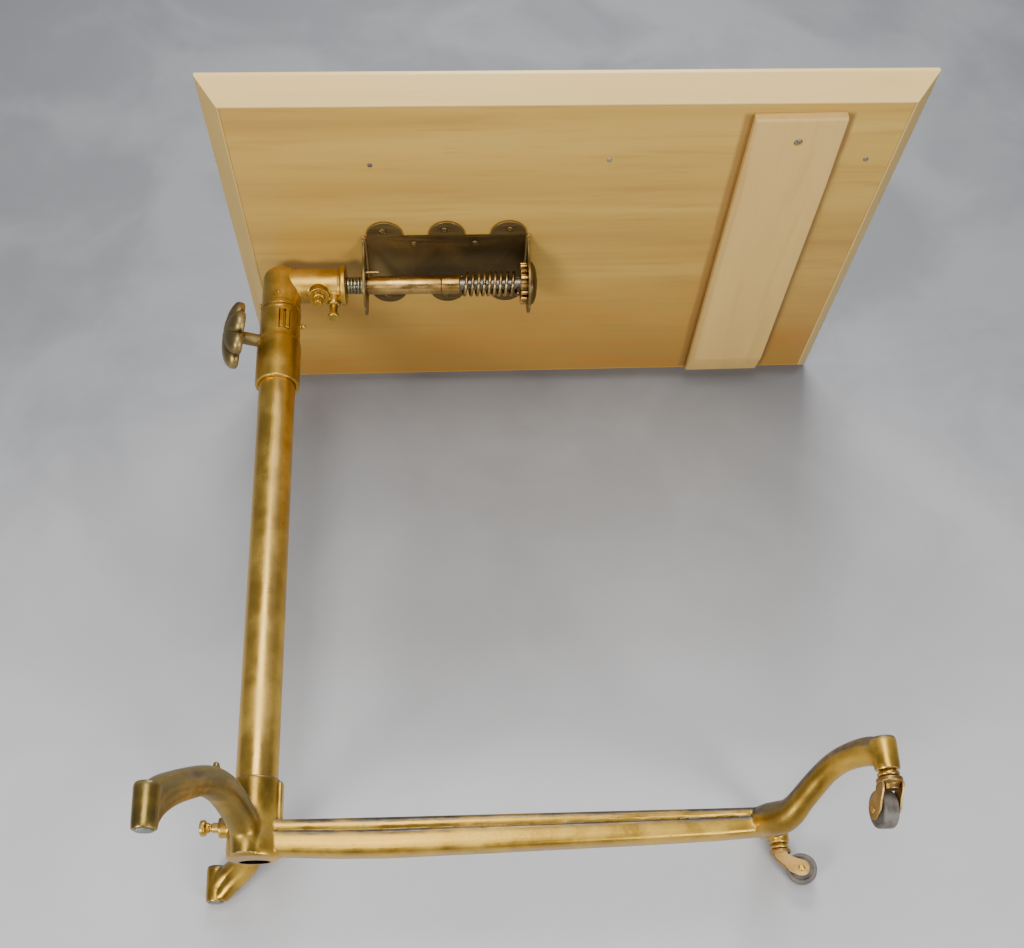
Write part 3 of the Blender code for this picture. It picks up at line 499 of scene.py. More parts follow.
def upright_sheet(outlines, x, edge=0.0):
    """Sheet in the YZ plane between two X limits."""
    turn = Matrix(((0, 0, 1, 0), (1, 0, 0, 0), (0, 1, 0, 0), (0, 0, 0, 1)))
    return sheet(outlines, x[1] - x[0], Matrix.Translation(((x[0] + x[1]) / 2, 0, 0)) @ turn, edge)


def smooth_path(stations, per_span):
    """Points on a smooth curve through rows of numbers."""
    rows = np.array(stations, float)
    padded = np.vstack([2 * rows[0] - rows[1], rows, 2 * rows[-1] - rows[-2]])
    out = []
    for a, b, c, d in zip(padded, padded[1:], padded[2:], padded[3:]):
        for i in range(per_span):
            t = i / per_span
            bend, twist = 2 * a - 5 * b + 4 * c - d, 3 * b - a - 3 * c + d
            out.append(0.5 * (2 * b + (c - a) * t + bend * t * t + twist * t ** 3))
    out.append(rows[-1])
    return np.array(out)


def mirrored(points, x_sign, y_sign):
    """Points followed by their own mirror image, so that the outline goes on round."""
    return points + [(x * x_sign, y * y_sign) for x, y in reversed(points)]


def lofted(rings):
    """Closed skin through rings that all have the same number of points."""
    count = len(rings[0])
    last = (len(rings) - 1) * count
    faces = [list(range(count))[::-1], list(range(last, last + count))]
    for start in range(0, last, count):
        for i in range(start, start + count):
            j = start + (i - start + 1) % count
            faces.append([i, j, j + count, i + count])
    return tidy(mesh_of([point for ring in rings for point in ring], faces))


def swept(points, radii, segments=28, flatten=1.0):
    """Closed round bar along a path; flatten scales its width across the upright plane it runs in."""
    points = [Vector(p) for p in points]
    last = len(points) - 1
    rings = []
    side = None
    for i, (place, radius) in enumerate(zip(points, radii)):
        ahead = (points[min(i + 1, last)] - points[max(i - 1, 0)]).normalized()
        if side is None:
            steep = abs(ahead.z) > 0.99
            side = (ahead.orthogonal() if steep else ahead.cross(Vector((0, 0, 1)))).normalized()
        side = (side - side.dot(ahead) * ahead).normalized()
        up = side.cross(ahead)
        turns = [tau * k / segments for k in range(segments)]
        rings.append([place + float(radius) * (flatten * cos(a) * side + sin(a) * up) for a in turns])
    return lofted(rings)


def joined(objects):
    bpy.ops.object.select_all(action="DESELECT")
    for obj in objects:
        obj.select_set(True)
    bpy.context.view_layer.objects.active = objects[0]
    bpy.ops.object.join()
    return objects[0]


def fused(objects, voxel, rounds):
    """One skin over several overlapping solids, smoothed as a casting is."""
    obj = joined(objects)
    remesh = obj.modifiers.new("skin", "REMESH")
    remesh.mode = "VOXEL"
    remesh.voxel_size = voxel
    soften = obj.modifiers.new("soften", "SMOOTH")
    soften.factor = 0.5
    soften.iterations = rounds
    return baked(obj)


def piece(name, obj, material, body, nodes, angle=35):
    """Name a finished shape, move it to the post's place, and let it stand for its CAD nodes."""
    obj.name = name
    obj.data.name = name
    obj.data.materials.clear()
    obj.data.materials.append(MATERIALS[material])
    obj.data.shade_smooth()
    if angle:
        obj.data.set_sharp_from_angle(angle=radians(angle))
    obj.data.transform(TO_FRAME)
    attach(obj, body)
    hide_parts(*nodes)
    return obj


# ---------- base ----------

HUB_BOTTOM = 0.0150
HUB_TOP = 0.085
HUB_BORE_RADIUS = 0.0132
HUB_BORE_Y = 0.0085
HUB_BORE_FLATTEN = 0.62
THUMB_SCREW_Z = 0.0437
BASE_TURN = radians(2.6)
BASE_FRAME = Matrix.Rotation(BASE_TURN, 4, "Z")
BAR_END = 0.4500
BAR_SECTION_TOP = 0.0470
# Height of the bar's top, and how much deeper the bar is than its section, along its length.
BAR_SHARES = (0.03, 0.08, 0.16, 0.26, 0.50, 0.75, 0.90, 1.00)
BAR_TOPS = (0.0484, 0.0484, 0.0486, 0.0488, 0.0496, 0.0504, 0.0508, 0.0512)
BAR_SCALES = (0.96, 0.98, 1.04, 1.06, 0.99, 0.91, 0.84, 0.76)
LEFT_FOOT = (-0.0558, 0.1635)
FAR_LEG_SWEEP = 0.040
LEFT_RIM = 0.0065
RIGHT_LEGS_X = 0.4400
RIGHT_FOOT = (0.5063, 0.1405)
RIGHT_RIM = 0.0470
TUBE_RADIUS = 0.0185
TUBE_BORE = 0.0165


def foot_place(foot, side):
    turned = BASE_FRAME @ Vector((foot[0], side * foot[1], 0))
    return turned.x, turned.y


def leg(stations, root_x, foot, side, flatten, sweep=0.0):
    """One arched leg; each station is (share of the way out, height, radius)."""
    path = smooth_path(stations, 6)
    points = []
    for share, z, _ in path:
        aside = sweep * share * (1 - share ** 8)
        points.append((root_x + share * (foot[0] - root_x) + aside, side * share * foot[1], z))
    obj = swept(points, [radius for _, _, radius in path], 28, flatten)
    obj.data.transform(BASE_FRAME)
    return obj


def left_part(stations, side):
    """Part of a left leg; the far one leaves the hub straighter and sweeps out to its foot."""
    return leg(stations, 0.0, LEFT_FOOT, side, 0.97, FAR_LEG_SWEEP if side > 0 else 0.0)


def left_leg(side):
    return left_part((
        (0.085, 0.0165, 0.0126), (0.085, 0.0280, 0.0130), (0.105, 0.0385, 0.0134), (0.165, 0.0475, 0.0138),
        (0.26, 0.0563, 0.0143), (0.36, 0.0620, 0.0143), (0.46, 0.0632, 0.0138), (0.56, 0.0608, 0.0127),
        (0.68, 0.0548, 0.0118), (0.80, 0.0475, 0.0113), (0.90, 0.0405, 0.0110), (0.955, 0.0340, 0.0106),
        (0.985, 0.0265, 0.0102), (1.00, 0.0180, 0.0098), (1.00, LEFT_RIM, 0.0094),
    ), side)


def left_gusset(side):
    """Fillet in the corner between a left leg and its foot."""
    return left_part((
        (0.985, 0.0120, 0.0080), (0.945, 0.0240, 0.0092), (0.87, 0.0350, 0.0100), (0.76, 0.0455, 0.0104),
        (0.58, 0.0570, 0.0095),
    ), side)


def right_leg(side):
    """Arched leg at the bar's end; the root of the far one is shallower."""
    near_root = (
        (0.00, 0.0410, 0.0100), (0.06, 0.0395, 0.0125), (0.12, 0.0378, 0.0143), (0.22, 0.0366, 0.0143),
        (0.30, 0.0388, 0.0125),
    )
    far_root = (
        (0.00, 0.0430, 0.0085), (0.06, 0.0425, 0.0098), (0.12, 0.0420, 0.0104), (0.22, 0.0415, 0.0102),
        (0.30, 0.0425, 0.0102),
    )
    stations = (near_root if side < 0 else far_root) + (
        (0.38, 0.0452, 0.0111), (0.47, 0.0528, 0.0109), (0.57, 0.0606, 0.0105),
        (0.66, 0.0654, 0.0106), (0.75, 0.0676, 0.0109), (0.86, 0.0674, 0.0116), (0.94, 0.0648, 0.0120),
        (0.985, 0.0595, 0.0112), (1.00, 0.0530, 0.0102), (1.00, RIGHT_RIM, 0.0099),
    )
    return leg(stations, RIGHT_LEGS_X, RIGHT_FOOT, side, 0.95)


def ankle(foot, side, rim, top, radius):
    """Upright barrel of a foot, with a rounded shoulder."""
    profile = [(radius - 0.0010, top), (radius, top - 0.0030), (radius - 0.0006, rim)]
    return lathe(profile, (*foot_place(foot, side), 0), radius=0.0040)


def bar():
    """Moulded bar: a wide round-bottomed band, a dark line, a narrow bead and a flat top."""
    near_side = softened([
        (-0.0060, 0.0154), (-0.0108, 0.0162), (-0.0136, 0.0188), (-0.0146, 0.0240), (-0.0145, 0.0305),
        (-0.0138, 0.0345), (-0.0108, 0.0352), (-0.0108, 0.0370), (-0.0130, 0.0380), (-0.0132, 0.0425),
        (-0.0105, 0.0458), (-0.0055, BAR_SECTION_TOP),
    ], 0.0010)
    section = mirrored(near_side, -1, 1)
    obj = lofted([
        [(share * BAR_END, y, top + scale * (z - BAR_SECTION_TOP)) for y, z in section]
        for share, top, scale in zip(BAR_SHARES, BAR_TOPS, BAR_SCALES)
    ])
    obj.data.transform(BASE_FRAME)
    return obj


def hub_bore():
    """Hole under the hub, wider across than deep."""
    bore = rod(HUB_BORE_RADIUS, (0, 0, 0), (0, 0, 0.034), 48)
    bore.data.transform(Matrix.Diagonal((1.0, HUB_BORE_FLATTEN, 1.0, 1.0)))
    bore.data.transform(Matrix.Translation((0, HUB_BORE_Y, 0)))
    return bore


def base_casting():
    hub = lathe([
        (0.0196, HUB_TOP), (0.0203, HUB_TOP - 0.0012), (0.0205, 0.055), (0.0215, 0.040), (0.0233, 0.030),
        (0.0233, 0.021), (0.0219, HUB_BOTTOM),
    ], radius=0.002)
    boss = rod(0.009, (0, 0, THUMB_SCREW_Z), (-0.030, 0, THUMB_SCREW_Z))
    rib = block((0.012, 0.0235), (-0.006, 0.006), (0.040, 0.082), bevel=0.0015)
    nub = lathe([(0, 0.0822), (0.0024, 0.0816), (0.0036, 0.0760), (0.0040, 0.060)],
                (LEFT_FOOT[0] * 0.43, -LEFT_FOOT[1] * 0.43, 0), segments=20, radius=0.001)
    nub.data.transform(BASE_FRAME)
    legs = [make(side) for make in (left_leg, left_gusset, right_leg) for side in (-1, 1)]
    ankles = [ankle(LEFT_FOOT, side, LEFT_RIM, 0.0415, 0.0103) for side in (-1, 1)]
    ankles += [ankle(RIGHT_FOOT, side, RIGHT_RIM, 0.0738, 0.0106) for side in (-1, 1)]
    body = fused([hub, boss, rib, bar(), nub, *legs, *ankles], 0.0010, 4)
    tools = [
        hub_bore(),
        rod(TUBE_RADIUS + GAP, (0, 0, 0.035), (0, 0, 0.2), 64),
        rod(0.0047, (-0.010, 0, THUMB_SCREW_Z), (-0.050, 0, THUMB_SCREW_Z)),
    ]
    sockets = ((LEFT_FOOT, LEFT_RIM, 0.0038, 0.0215), (RIGHT_FOOT, RIGHT_RIM, 0.0045, 0.0580))
    for foot, rim, radius, top in sockets:
        for side in (-1, 1):
            x, y = foot_place(foot, side)
            tools.append(rod(0.016, (x, y, rim - 0.008), (x, y, rim)))
            tools.append(rod(radius, (x, y, rim - 0.005), (x, y, top)))
    for side in (-1, 1):
        x, y = foot_place(LEFT_FOOT, side)
        tools.append(rod(0.0074, (x, y, LEFT_RIM - 0.002), (x, y, LEFT_RIM + 0.0012)))
    body = cut(body, *tools)
    return piece("cast_base", body, "casting", "base_post", ["base_casting"], 40)


def foot_pads():
    """Flat grey pad in the recess of each left foot."""
    for side, label in SIDES:
        body = lathe([
            (0.0035, 0.0210), (0.0035, LEFT_RIM + 0.0010), (0.0072, LEFT_RIM + 0.0010),
            (0.0072, FLOOR_Z + 0.0004), (0.0066, FLOOR_Z),
        ], (*foot_place(LEFT_FOOT, side), 0), radius=0.0004)
        piece("foot_pad_" + label, body, "glide", "base_post", ["glide_" + label])


KEY_ANGLE = radians(-69)
KEY_Z = (0.5557, 0.5799)
KEY_WIDTH = 0.0117
CLAMP_Z = 0.5487
CLAMP_DIRECTION = Vector((-cos(radians(20)), -sin(radians(20)), 0))
CLAMP_SCREW_RADIUS = 0.0065
COLLAR_Z = (0.4962, 0.5877)
COLLAR_PIN_Z = 0.571


def key_window():
    half = KEY_WIDTH / 2
    return block((0.010, 0.030), (-half, half), KEY_Z, KEY_ANGLE)


def clamp_hole():
    centre = Vector((0, 0, CLAMP_Z))
    return rod(CLAMP_SCREW_RADIUS + GAP, centre + 0.005 * CLAMP_DIRECTION, centre + 0.04 * CLAMP_DIRECTION)


def post_tube():
    body = lathe([(TUBE_RADIUS, 0.5860), (TUBE_RADIUS, 0.0353)], segments=96, bore=TUBE_BORE)
    body = cut(body, key_window(), clamp_hole())
    piece("post_tube", body, "post", "base_post", ["outer_tube"])


def post_collar():
    bottom, top = COLLAR_Z
    body = lathe([
        (0.0206, top), (0.0212, top - 0.0010), (0.0212, top - 0.0035), (0.0209, top - 0.0042),
        (0.0209, 0.5535), (0.0212, 0.5502), (0.0223, 0.5478), (0.0227, 0.5455),
        (0.0227, bottom + 0.0012), (0.0220, bottom),
    ], segments=96, bore=0.0188)
    pin_hole = rod(0.0015, (0.015, 0, COLLAR_PIN_Z), (0.030, 0, COLLAR_PIN_Z), 16)
    body = cut(body, key_window(), clamp_hole(), pin_hole)
    piece("post_collar", body, "fitting", "base_post", ["collar"])


def guide_key():
    """Two upright bars with a dark slot between them, set in the collar's window."""
    half = KEY_WIDTH / 2 - GAP
    z = (KEY_Z[0] + 0.0006, KEY_Z[1] - 0.0006)
    plate = block((0.0169, 0.0186), (-half, half), z, KEY_ANGLE, 0.0003)
    tongue = block((0.0151, 0.0175), (-0.0022, 0.0022), z, KEY_ANGLE)
    bar_limits = ((-half + 0.0005, -0.0011), (0.0011, half - 0.0005))
    bars = [block((0.0178, 0.0219), limits, z, KEY_ANGLE, 0.0006) for limits in bar_limits]
    body = fused([plate, tongue, *bars], 0.00022, 2)
    piece("guide_key_bars", body, "fitting", "base_post", ["guide_key"], 0)


def collar_pin():
    ball = circle(0, 0.0243, 0.0028, 14, radians(90), radians(-155))
    body = lathe([*ball, (0.0012, 0.0215), (0.0012, 0.0191)], (0, 0, COLLAR_PIN_Z), (1, 0, 0), 28, 0)
    piece("collar_ball_pin", body, "fitting", "base_post", ["collar_pin"])


def thumb_screw():
    body = lathe([
        (0.0052, 0.0467), (0.0070, 0.0458), (0.0070, 0.0422), (0.0058, 0.0413), (0.0044, 0.0405),
        (0.0044, 0.0385), (0.0034, 0.0378), (0.0034, 0.0365), (0.0044, 0.0358), (0.0044, 0.0190),
    ], (0, 0, THUMB_SCREW_Z), (-1, 0, 0), 48, 0.0006)
    piece("hub_thumb_screw_turned", body, "fitting", "thumb_screw", ["hub_thumb_screw"])


# ---------- height clamp ----------

KNOB_DISTANCE = 0.045
KNOB_RADIUS = 0.035
KNOB_LOBES = 7
SHAFT_END = 0.0400


def clamp_screw():
    body = lathe([
        (CLAMP_SCREW_RADIUS, SHAFT_END), (CLAMP_SCREW_RADIUS, 0.0180), (0.0050, SLIDER_RADIUS + GAP),
    ], (0, 0, CLAMP_Z), CLAMP_DIRECTION, 48)
    piece("clamp_shaft", body, "knob", "clamp", ["clamp_screw"])


def clamp_knob():
    """Hand wheel with round lobes and narrow valleys between them, domed on its outer face."""
    sections = (
        (0.28, -0.0050), (0.80, -0.0050), (0.93, -0.0046), (0.985, -0.0032), (1.0, -0.0010), (1.0, 0.0012),
        (0.985, 0.0034), (0.93, 0.0054), (0.82, 0.0078), (0.66, 0.0101), (0.48, 0.0117), (0.28, 0.0126),
        (0.12, 0.0129),
    )
    count = 18 * KNOB_LOBES
    rings = []
    for scale, height in sections:
        rings.append([])
        for i in range(count):
            angle = tau * i / count
            valley = 1 - abs(cos(KNOB_LOBES * angle / 2)) ** 0.8
            radius = scale * KNOB_RADIUS * (1 - 0.19 * scale ** 2.5 * valley)
            drop = 0.0022 * scale * valley if height > 0 else -0.0010 * valley
            rings[-1].append((radius * cos(angle), radius * sin(angle), height - drop))
    body = lofted(rings)
    axis = Vector((0, 0, CLAMP_Z))
    body.data.transform(placement(axis + KNOB_DISTANCE * CLAMP_DIRECTION, CLAMP_DIRECTION))
    socket = (axis + reach * CLAMP_DIRECTION for reach in (0.030, SHAFT_END + GAP))
    body = cut(body, rod(CLAMP_SCREW_RADIUS + GAP, *socket))
    piece("clamp_hand_wheel", body, "knob", "clamp", ["clamp_knob"], 60)


# ---------- column ----------

SPINDLE_Z = 0.6245
SPINDLE_BORE = 0.0063
BARREL_RADIUS = 0.0178
BARREL_END = 0.0687
ELBOW_RADIUS = 0.0204
ELBOW_BOTTOM = 0.5882
SET_SCREW_X = 0.0405
SET_SCREW_DIRECTION = Vector((0, -sin(radians(20)), -cos(radians(20))))
LUG_X = 0.0557
ELBOW_RIVET_Z = 0.6016
SIDE_SCREW_Z = 0.5980
SLIDER_RADIUS = 0.0160
SPINDLE_AXIS = ((0, 0, SPINDLE_Z), (1, 0, 0))


def slider_tube():
    body = lathe([(SLIDER_RADIUS, 0.6115), (SLIDER_RADIUS, 0.1200)], segments=96, bore=0.0138)
    keyway = block((0.0148, 0.020), (-0.0025, 0.0025), (0.0, 0.5950), KEY_ANGLE)
    piece("slider_tube", cut(body, keyway), "steel", "column", ["inner_tube"])


def elbow():
    corner = circle(ELBOW_RADIUS - 0.0125, 0.6294, 0.0125, 9, radians(90), radians(-90))
    upright = lathe([
        (0, 0.6419), *corner, (ELBOW_RADIUS, 0.5937), (0.0210, 0.5930), (0.0210, ELBOW_BOTTOM),
    ], segments=72)
    flange = BARREL_END - 0.0057
    barrel = lathe([
        (0.0198, BARREL_END), (0.0210, BARREL_END - 0.0010), (0.0210, flange + 0.0010), (0.0200, flange),
        (0.0172, flange - 0.0004), (0.0172, flange - 0.0020), (BARREL_RADIUS, flange - 0.0028),
        (BARREL_RADIUS, 0.0),
    ], *SPINDLE_AXIS, 72)
    base = Vector((SET_SCREW_X, 0, SPINDLE_Z))
    boss = rod(0.0112, base, base + 0.0238 * SET_SCREW_DIRECTION, 48)
    lug = lathe([(0.0085, SPINDLE_Z), (0.0080, 0.6060), (0.0072, 0.6000), (0.0060, 0.5975)],
                (LUG_X, 0, 0), radius=0.001, segments=40)
    body = fused([upright, barrel, boss, lug], 0.00055, 3)
    body = cut(
        body,
        rod(SLIDER_RADIUS + GAP, (0, 0, 0.58), (0, 0, 0.6118), 64),
        rod(SPINDLE_BORE, (0.0097, 0, SPINDLE_Z), (0.08, 0, SPINDLE_Z)),
        rod(0.0033, base + 0.003 * SET_SCREW_DIRECTION, base + 0.030 * SET_SCREW_DIRECTION, 24),
        rod(0.0048, (LUG_X, 0, 0.59), (LUG_X, 0, 0.6070), 24),
        rod(0.0021, (0, -0.0180, ELBOW_RIVET_Z), (0, -0.030, ELBOW_RIVET_Z), 20),
        rod(0.0025, (-0.0180, 0, SIDE_SCREW_Z), (-0.030, 0, SIDE_SCREW_Z), 20),
    )
    piece("elbow_casting", body, "fitting", "column", ["elbow"], 40)


def elbow_trim():
    rivet = lathe([(0, 0.0218), (0.0011, 0.0216), (0.0018, 0.0209), (0.0018, 0.0183)],
                  (0, 0, ELBOW_RIVET_Z), (0, -1, 0), 24)
    piece("elbow_pip", rivet, "fitting", "column", ["elbow_rivet"])
    screw = lathe([
        (0, 0.0228), (0.0024, 0.0226), (0.0034, 0.0219), (0.0034, 0.0209), (0.0022, 0.0209), (0.0022, 0.0183),
    ], (0, 0, SIDE_SCREW_Z), (-1, 0, 0), 28)
    piece("elbow_left_screw", screw, "fitting", "column", ["elbow_side_screw"])
    set_screw = lathe([
        (0.0036, 0.0361), (0.0044, 0.0352), (0.0046, 0.0330), (0.0040, 0.0305), (0.0046, 0.0282),
        (0.0046, 0.0273), (0.0062, 0.0270), (0.0064, 0.0243), (0.0030, 0.0241), (0.0030, 0.0066),
    ], (SET_SCREW_X, 0, SPINDLE_Z), SET_SCREW_DIRECTION, 40, 0.0008)
    piece("spindle_set_pin", set_screw, "fitting", "column", ["spindle_set_screw"])
    lug_screw = lathe([
        (0.0045, 0.6065), (0.0045, 0.5960), (0.0040, 0.5935), (0.0040, 0.5875), (0.0060, 0.5858),
        (0.0062, 0.5830), (0.0050, 0.5820),
    ], (LUG_X, 0, 0), segments=40, radius=0.0006)
    piece("lug_set_screw", lug_screw, "fitting", "column", ["lug_screw"])


def spindle_line():
    """Spindle, threaded bush, spacer sleeve and spring seat, all on the tilt axis."""
    shaft = rod(0.006, (0.010, 0, SPINDLE_Z), (0.2700, 0, SPINDLE_Z), 48)
    seat = block((0.2477, 0.2625), (-0.0015, 0.0015), (SPINDLE_Z + 0.0039, SPINDLE_Z + 0.012))
    piece("spindle_shaft", cut(shaft, seat), "steel", "column", ["spindle"])
    start, end = BARREL_END + GAP, 0.0879 - GAP
    turns = 5
    pitch = (end - start) / turns
    thread = []
    for i in range(turns):
        high = end - i * pitch
        thread += [(0.0082, high), (0.0090, high - 0.35 * pitch), (0.0090, high - 0.65 * pitch)]
    bush = lathe([*thread, (0.0082, start)], *SPINDLE_AXIS, 48, 0.0002, SPINDLE_BORE)
    piece("threaded_bush_turned", bush, "bush", "column", ["threaded_bush"])
    sleeve = lathe([(0.0095, 0.1700), (0.0095, 0.0910)], *SPINDLE_AXIS, 64, 0.0003, SPINDLE_BORE)
    piece("spacer_sleeve_turned", sleeve, "brass", "column", ["spacer_sleeve"])
    spring_seat = lathe([(0.0091, 0.1903), (0.0098, 0.1896), (0.0098, 0.1712), (0.0092, 0.1705)],
                        *SPINDLE_AXIS, bore=SPINDLE_BORE)
    piece("spring_seat_turned", spring_seat, "brass", "column", ["spring_seat"])


def spring():
    """Open coil from the spring seat to the toothed wheel."""
    wire, turns, steps = 0.0017, 9.5, 32
    radius = 0.0132 - wire
    foot = 0.1905
    start, end = foot + wire + GAP, 0.2548 - wire
    count = round(turns * steps)
    points = []
    for i in range(count + 1):
        share = i / count
        angle = tau * turns * share
        x = start + (end - start) * (share + 0.018 * sin(tau * share))
        points.append((x, radius * sin(angle), SPINDLE_Z + radius * cos(angle)))
    body = swept(points, [wire] * len(points), 12)
    obj = piece("coil_spring", body, "spring", "column", ["detent_spring"], 0)
    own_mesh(obj)


def detent_wheel():
    """Toothed wheel: sixteen round-ended teeth with clear slots between them."""
    tip, root, teeth = 0.0220, 0.0176, 16
    pitch = tau / teeth
    flank = [(-0.30, root), (-0.27, tip - 0.0016), (-0.22, tip - 0.0006), (-0.12, tip)]
    outline = []
    for tooth in range(teeth):
        for share, radius in [*flank, (0.0, tip), *((-share, radius) for share, radius in reversed(flank))]:
            angle = (tooth + share) * pitch
            outline.append((radius * cos(angle), SPINDLE_Z + radius * sin(angle)))
    body = upright_sheet([outline], (0.2555, 0.2625), 0.0005)
    body = cut(
        body,
        rod(SPINDLE_BORE, (0.24, 0, SPINDLE_Z), (0.28, 0, SPINDLE_Z)),
        block((0.24, 0.28), (-0.0015, 0.0015), (SPINDLE_Z, SPINDLE_Z + 0.0077)),
    )
    piece("toothed_wheel", body, "brass", "detent", ["detent_wheel"])


# ---------- table ----------

TABLE_X = (-0.0487, 0.6371)
TABLE_HALF_DEPTH = 0.2286
TABLE_TOP = 0.6793
TABLE_UNDERSIDE = 0.6555
# Width of each moulding, near, right, far and left; the far one widens towards the right.
EDGE_INSETS = {"near": 0.0186, "right": 0.0198, "left": 0.0198}
FAR_EDGE_INSETS = (0.0252, 0.0305)
EDGE_CORNER_Z = 0.6753
BRACKET_X = (0.0879, 0.2655)
BRACKET_SHEET = 0.0025
BRACKET_HALF_DEPTH = 0.043
LOBE_X = (0.1120, 0.1773, 0.2427)
LOBE_RADIUS = 0.0192
LOBE_TIP_Y = 0.063
EAR_RADIUS = 0.031
BRACKET_SCREWS = ((0.1100, 0.0510), (0.1750, 0.0520), (0.2440, 0.0520), (0.1425, 0.0317), (0.2073, 0.0320))
BRADS = ((0.1040, -0.1400), (0.3380, -0.1436), (0.5920, -0.1417))
BATTEN_X = (0.4712, 0.5589)
BATTEN_TURN = radians(-0.9)
BATTEN_END_Y = 0.200
BATTEN_THICKNESS = 0.013
BATTEN_SCREW = (0.5145, -0.1735)
BATTEN_SCREW_DEPTH = 0.0078
STOP_PIN = (-0.006, 0.637)


def ear_outline():
    """Half-round ear that widens into the bracket's full depth at the table."""
    top = TABLE_UNDERSIDE - GAP - 0.0012
    steps = 12
    right_side = []
    for i in range(steps):
        share = 1 - i / steps
        half_width = EAR_RADIUS + (BRACKET_HALF_DEPTH - EAR_RADIUS) * share ** 2.5
        right_side.append((half_width, SPINDLE_Z + share * (top - SPINDLE_Z)))
    left_side = [(-y, z) for y, z in reversed(right_side)]
    return right_side + circle(0, SPINDLE_Z, EAR_RADIUS, 41, 0, -pi) + left_side


def lobed_outline():
    """Plan of the sheet: a strip with three round lobes on each long side."""
    lobe_y = LOBE_TIP_Y - LOBE_RADIUS
    reach = asin((BRACKET_HALF_DEPTH - 0.0008 - lobe_y) / LOBE_RADIUS)
    far_side = []
    for x in LOBE_X:
        far_side += circle(x, lobe_y, LOBE_RADIUS, 21, pi - reach, -(pi - 2 * reach))
    x0, x1 = BRACKET_X
    return mirrored([(max(x0 + 0.0006, min(x1 - 0.0006, x)), y) for x, y in far_side], 1, -1)


def bracket():
    """One sheet bent into a channel, its two ears shaped round the spindle, with three lobes on each side."""
    top = TABLE_UNDERSIDE - GAP
    x0, x1 = BRACKET_X
    holes = [circle(x, side * y, 0.0024, 16) for x, y in BRACKET_SCREWS for side in (-1, 1)]
    level = Matrix.Translation((0, 0, top - BRACKET_SHEET / 2))
    flat = sheet([lobed_outline(), *holes], BRACKET_SHEET, level, 0.0004)
    bore = circle(0, SPINDLE_Z, SPINDLE_BORE, 40)
    pin_hole = circle(*STOP_PIN, 0.0018, 16)
    left_ear = upright_sheet([ear_outline(), bore, pin_hole], (x0, x0 + BRACKET_SHEET), 0.0004)
    right_ear = upright_sheet([ear_outline(), bore], (x1 - BRACKET_SHEET, x1), 0.0004)
    bends = []
    for x in (x0 + BRACKET_SHEET - 0.0003, x1 - BRACKET_SHEET + 0.0003):
        z = top - BRACKET_SHEET + 0.0001
        bends.append(rod(0.0024, (x, -BRACKET_HALF_DEPTH + 0.001, z), (x, BRACKET_HALF_DEPTH - 0.001, z), 24))
    body = joined([flat, left_ear, right_ear, *bends])
    piece("bracket_sheet", body, "bracket", "table", ["bracket"], 30)


def bracket_trim():
    cap = lathe([
        (0, 0.2736), (0.0080, 0.2733), (0.0150, 0.2722), (0.0200, 0.2702), (0.0224, 0.2682), (0.0227, 0.2664),
        (0.0222, 0.2658), (SPINDLE_BORE, 0.2658), (SPINDLE_BORE, 0.2703), (0, 0.2703),
    ], *SPINDLE_AXIS, 72, 0.0012)
    piece("ear_dome_cap", cap, "bracket", "table", ["ear_cap"])
    pin = lathe([
        (0.0011, 0.1040), (0.0015, 0.1034), (0.0015, 0.0876), (0.0026, 0.0874), (0.0026, 0.0858),
        (0.0016, 0.0850),
    ], (0, *STOP_PIN), (1, 0, 0), 24)
    piece("ear_stop_pin", pin, "brass", "table", ["stop_pin"])


def slotted_screw(name, x, y, seat, head_radius, dome, turn, material, node, slot):
    """Wood screw driven upwards, its slotted head below the seat."""
    body = lathe([
        (0.0018, 0.6670), (0.0018, seat), (head_radius, seat),
        (head_radius * 0.92, seat - dome * 0.45), (head_radius * 0.6, seat - dome * 0.85), (0, seat - dome),
    ], (x, y, 0), segments=28, radius=0.0006)
    slot_tool = block((-0.01, 0.01), (-0.00045, 0.00045), (seat - dome - 0.001, seat - dome + 0.0008))
    slot_tool.data.transform(Matrix.Translation((x, y, 0)) @ Matrix.Rotation(turn, 4, "Z"))
    piece(name, cut(body, slot_tool), material, "table", [node], 30)


def table_screws():
    seat = TABLE_UNDERSIDE - GAP - BRACKET_SHEET - 0.0001
    for side, label in SIDES:
        for number, (x, y) in enumerate(BRACKET_SCREWS, 1):
            slotted_screw(f"sheet_screw_{label}_{number}", x, side * y, seat, 0.0038, 0.0017, 0.9 * number,
                          "bracket", f"bracket_screw_{label}_{number}", "dark_bronze")
    seat = TABLE_UNDERSIDE - GAP - BATTEN_SCREW_DEPTH - 0.0004
    slotted_screw("batten_wood_screw", *BATTEN_SCREW, seat, 0.0040, 0.0012, 0.6,
                  "steel", "batten_screw", "steel")
    head = TABLE_UNDERSIDE - 0.0001
    for number, (x, y) in enumerate(BRADS, 1):
        brad = lathe([
            (0.0012, 0.6640), (0.0012, head), (0.0027, head), (0.0024, head - 0.0006), (0, head - 0.0009),
        ], (x, y, 0), segments=24, radius=0.0003)
        piece(f"brad_head_{number}", brad, "steel", "table", [f"panel_brad_{number}"])


def table_corners(label):
    """Outer and inner corners at the start and end of one side, seen from above."""
    (x0, x1), half = TABLE_X, TABLE_HALF_DEPTH
    left, right, near = EDGE_INSETS["left"], EDGE_INSETS["right"], EDGE_INSETS["near"]
    outer = [(x0, -half), (x1, -half), (x1, half), (x0, half)]
    inner = [(x0 + left, near - half), (x1 - right, near - half),
             (x1 - right, half - FAR_EDGE_INSETS[1]), (x0 + left, half - FAR_EDGE_INSETS[0])]
    start = ("near", "right", "far", "left").index(label)
    return [(Vector(outer[i % 4]), Vector(inner[i % 4])) for i in (start, start + 1)]


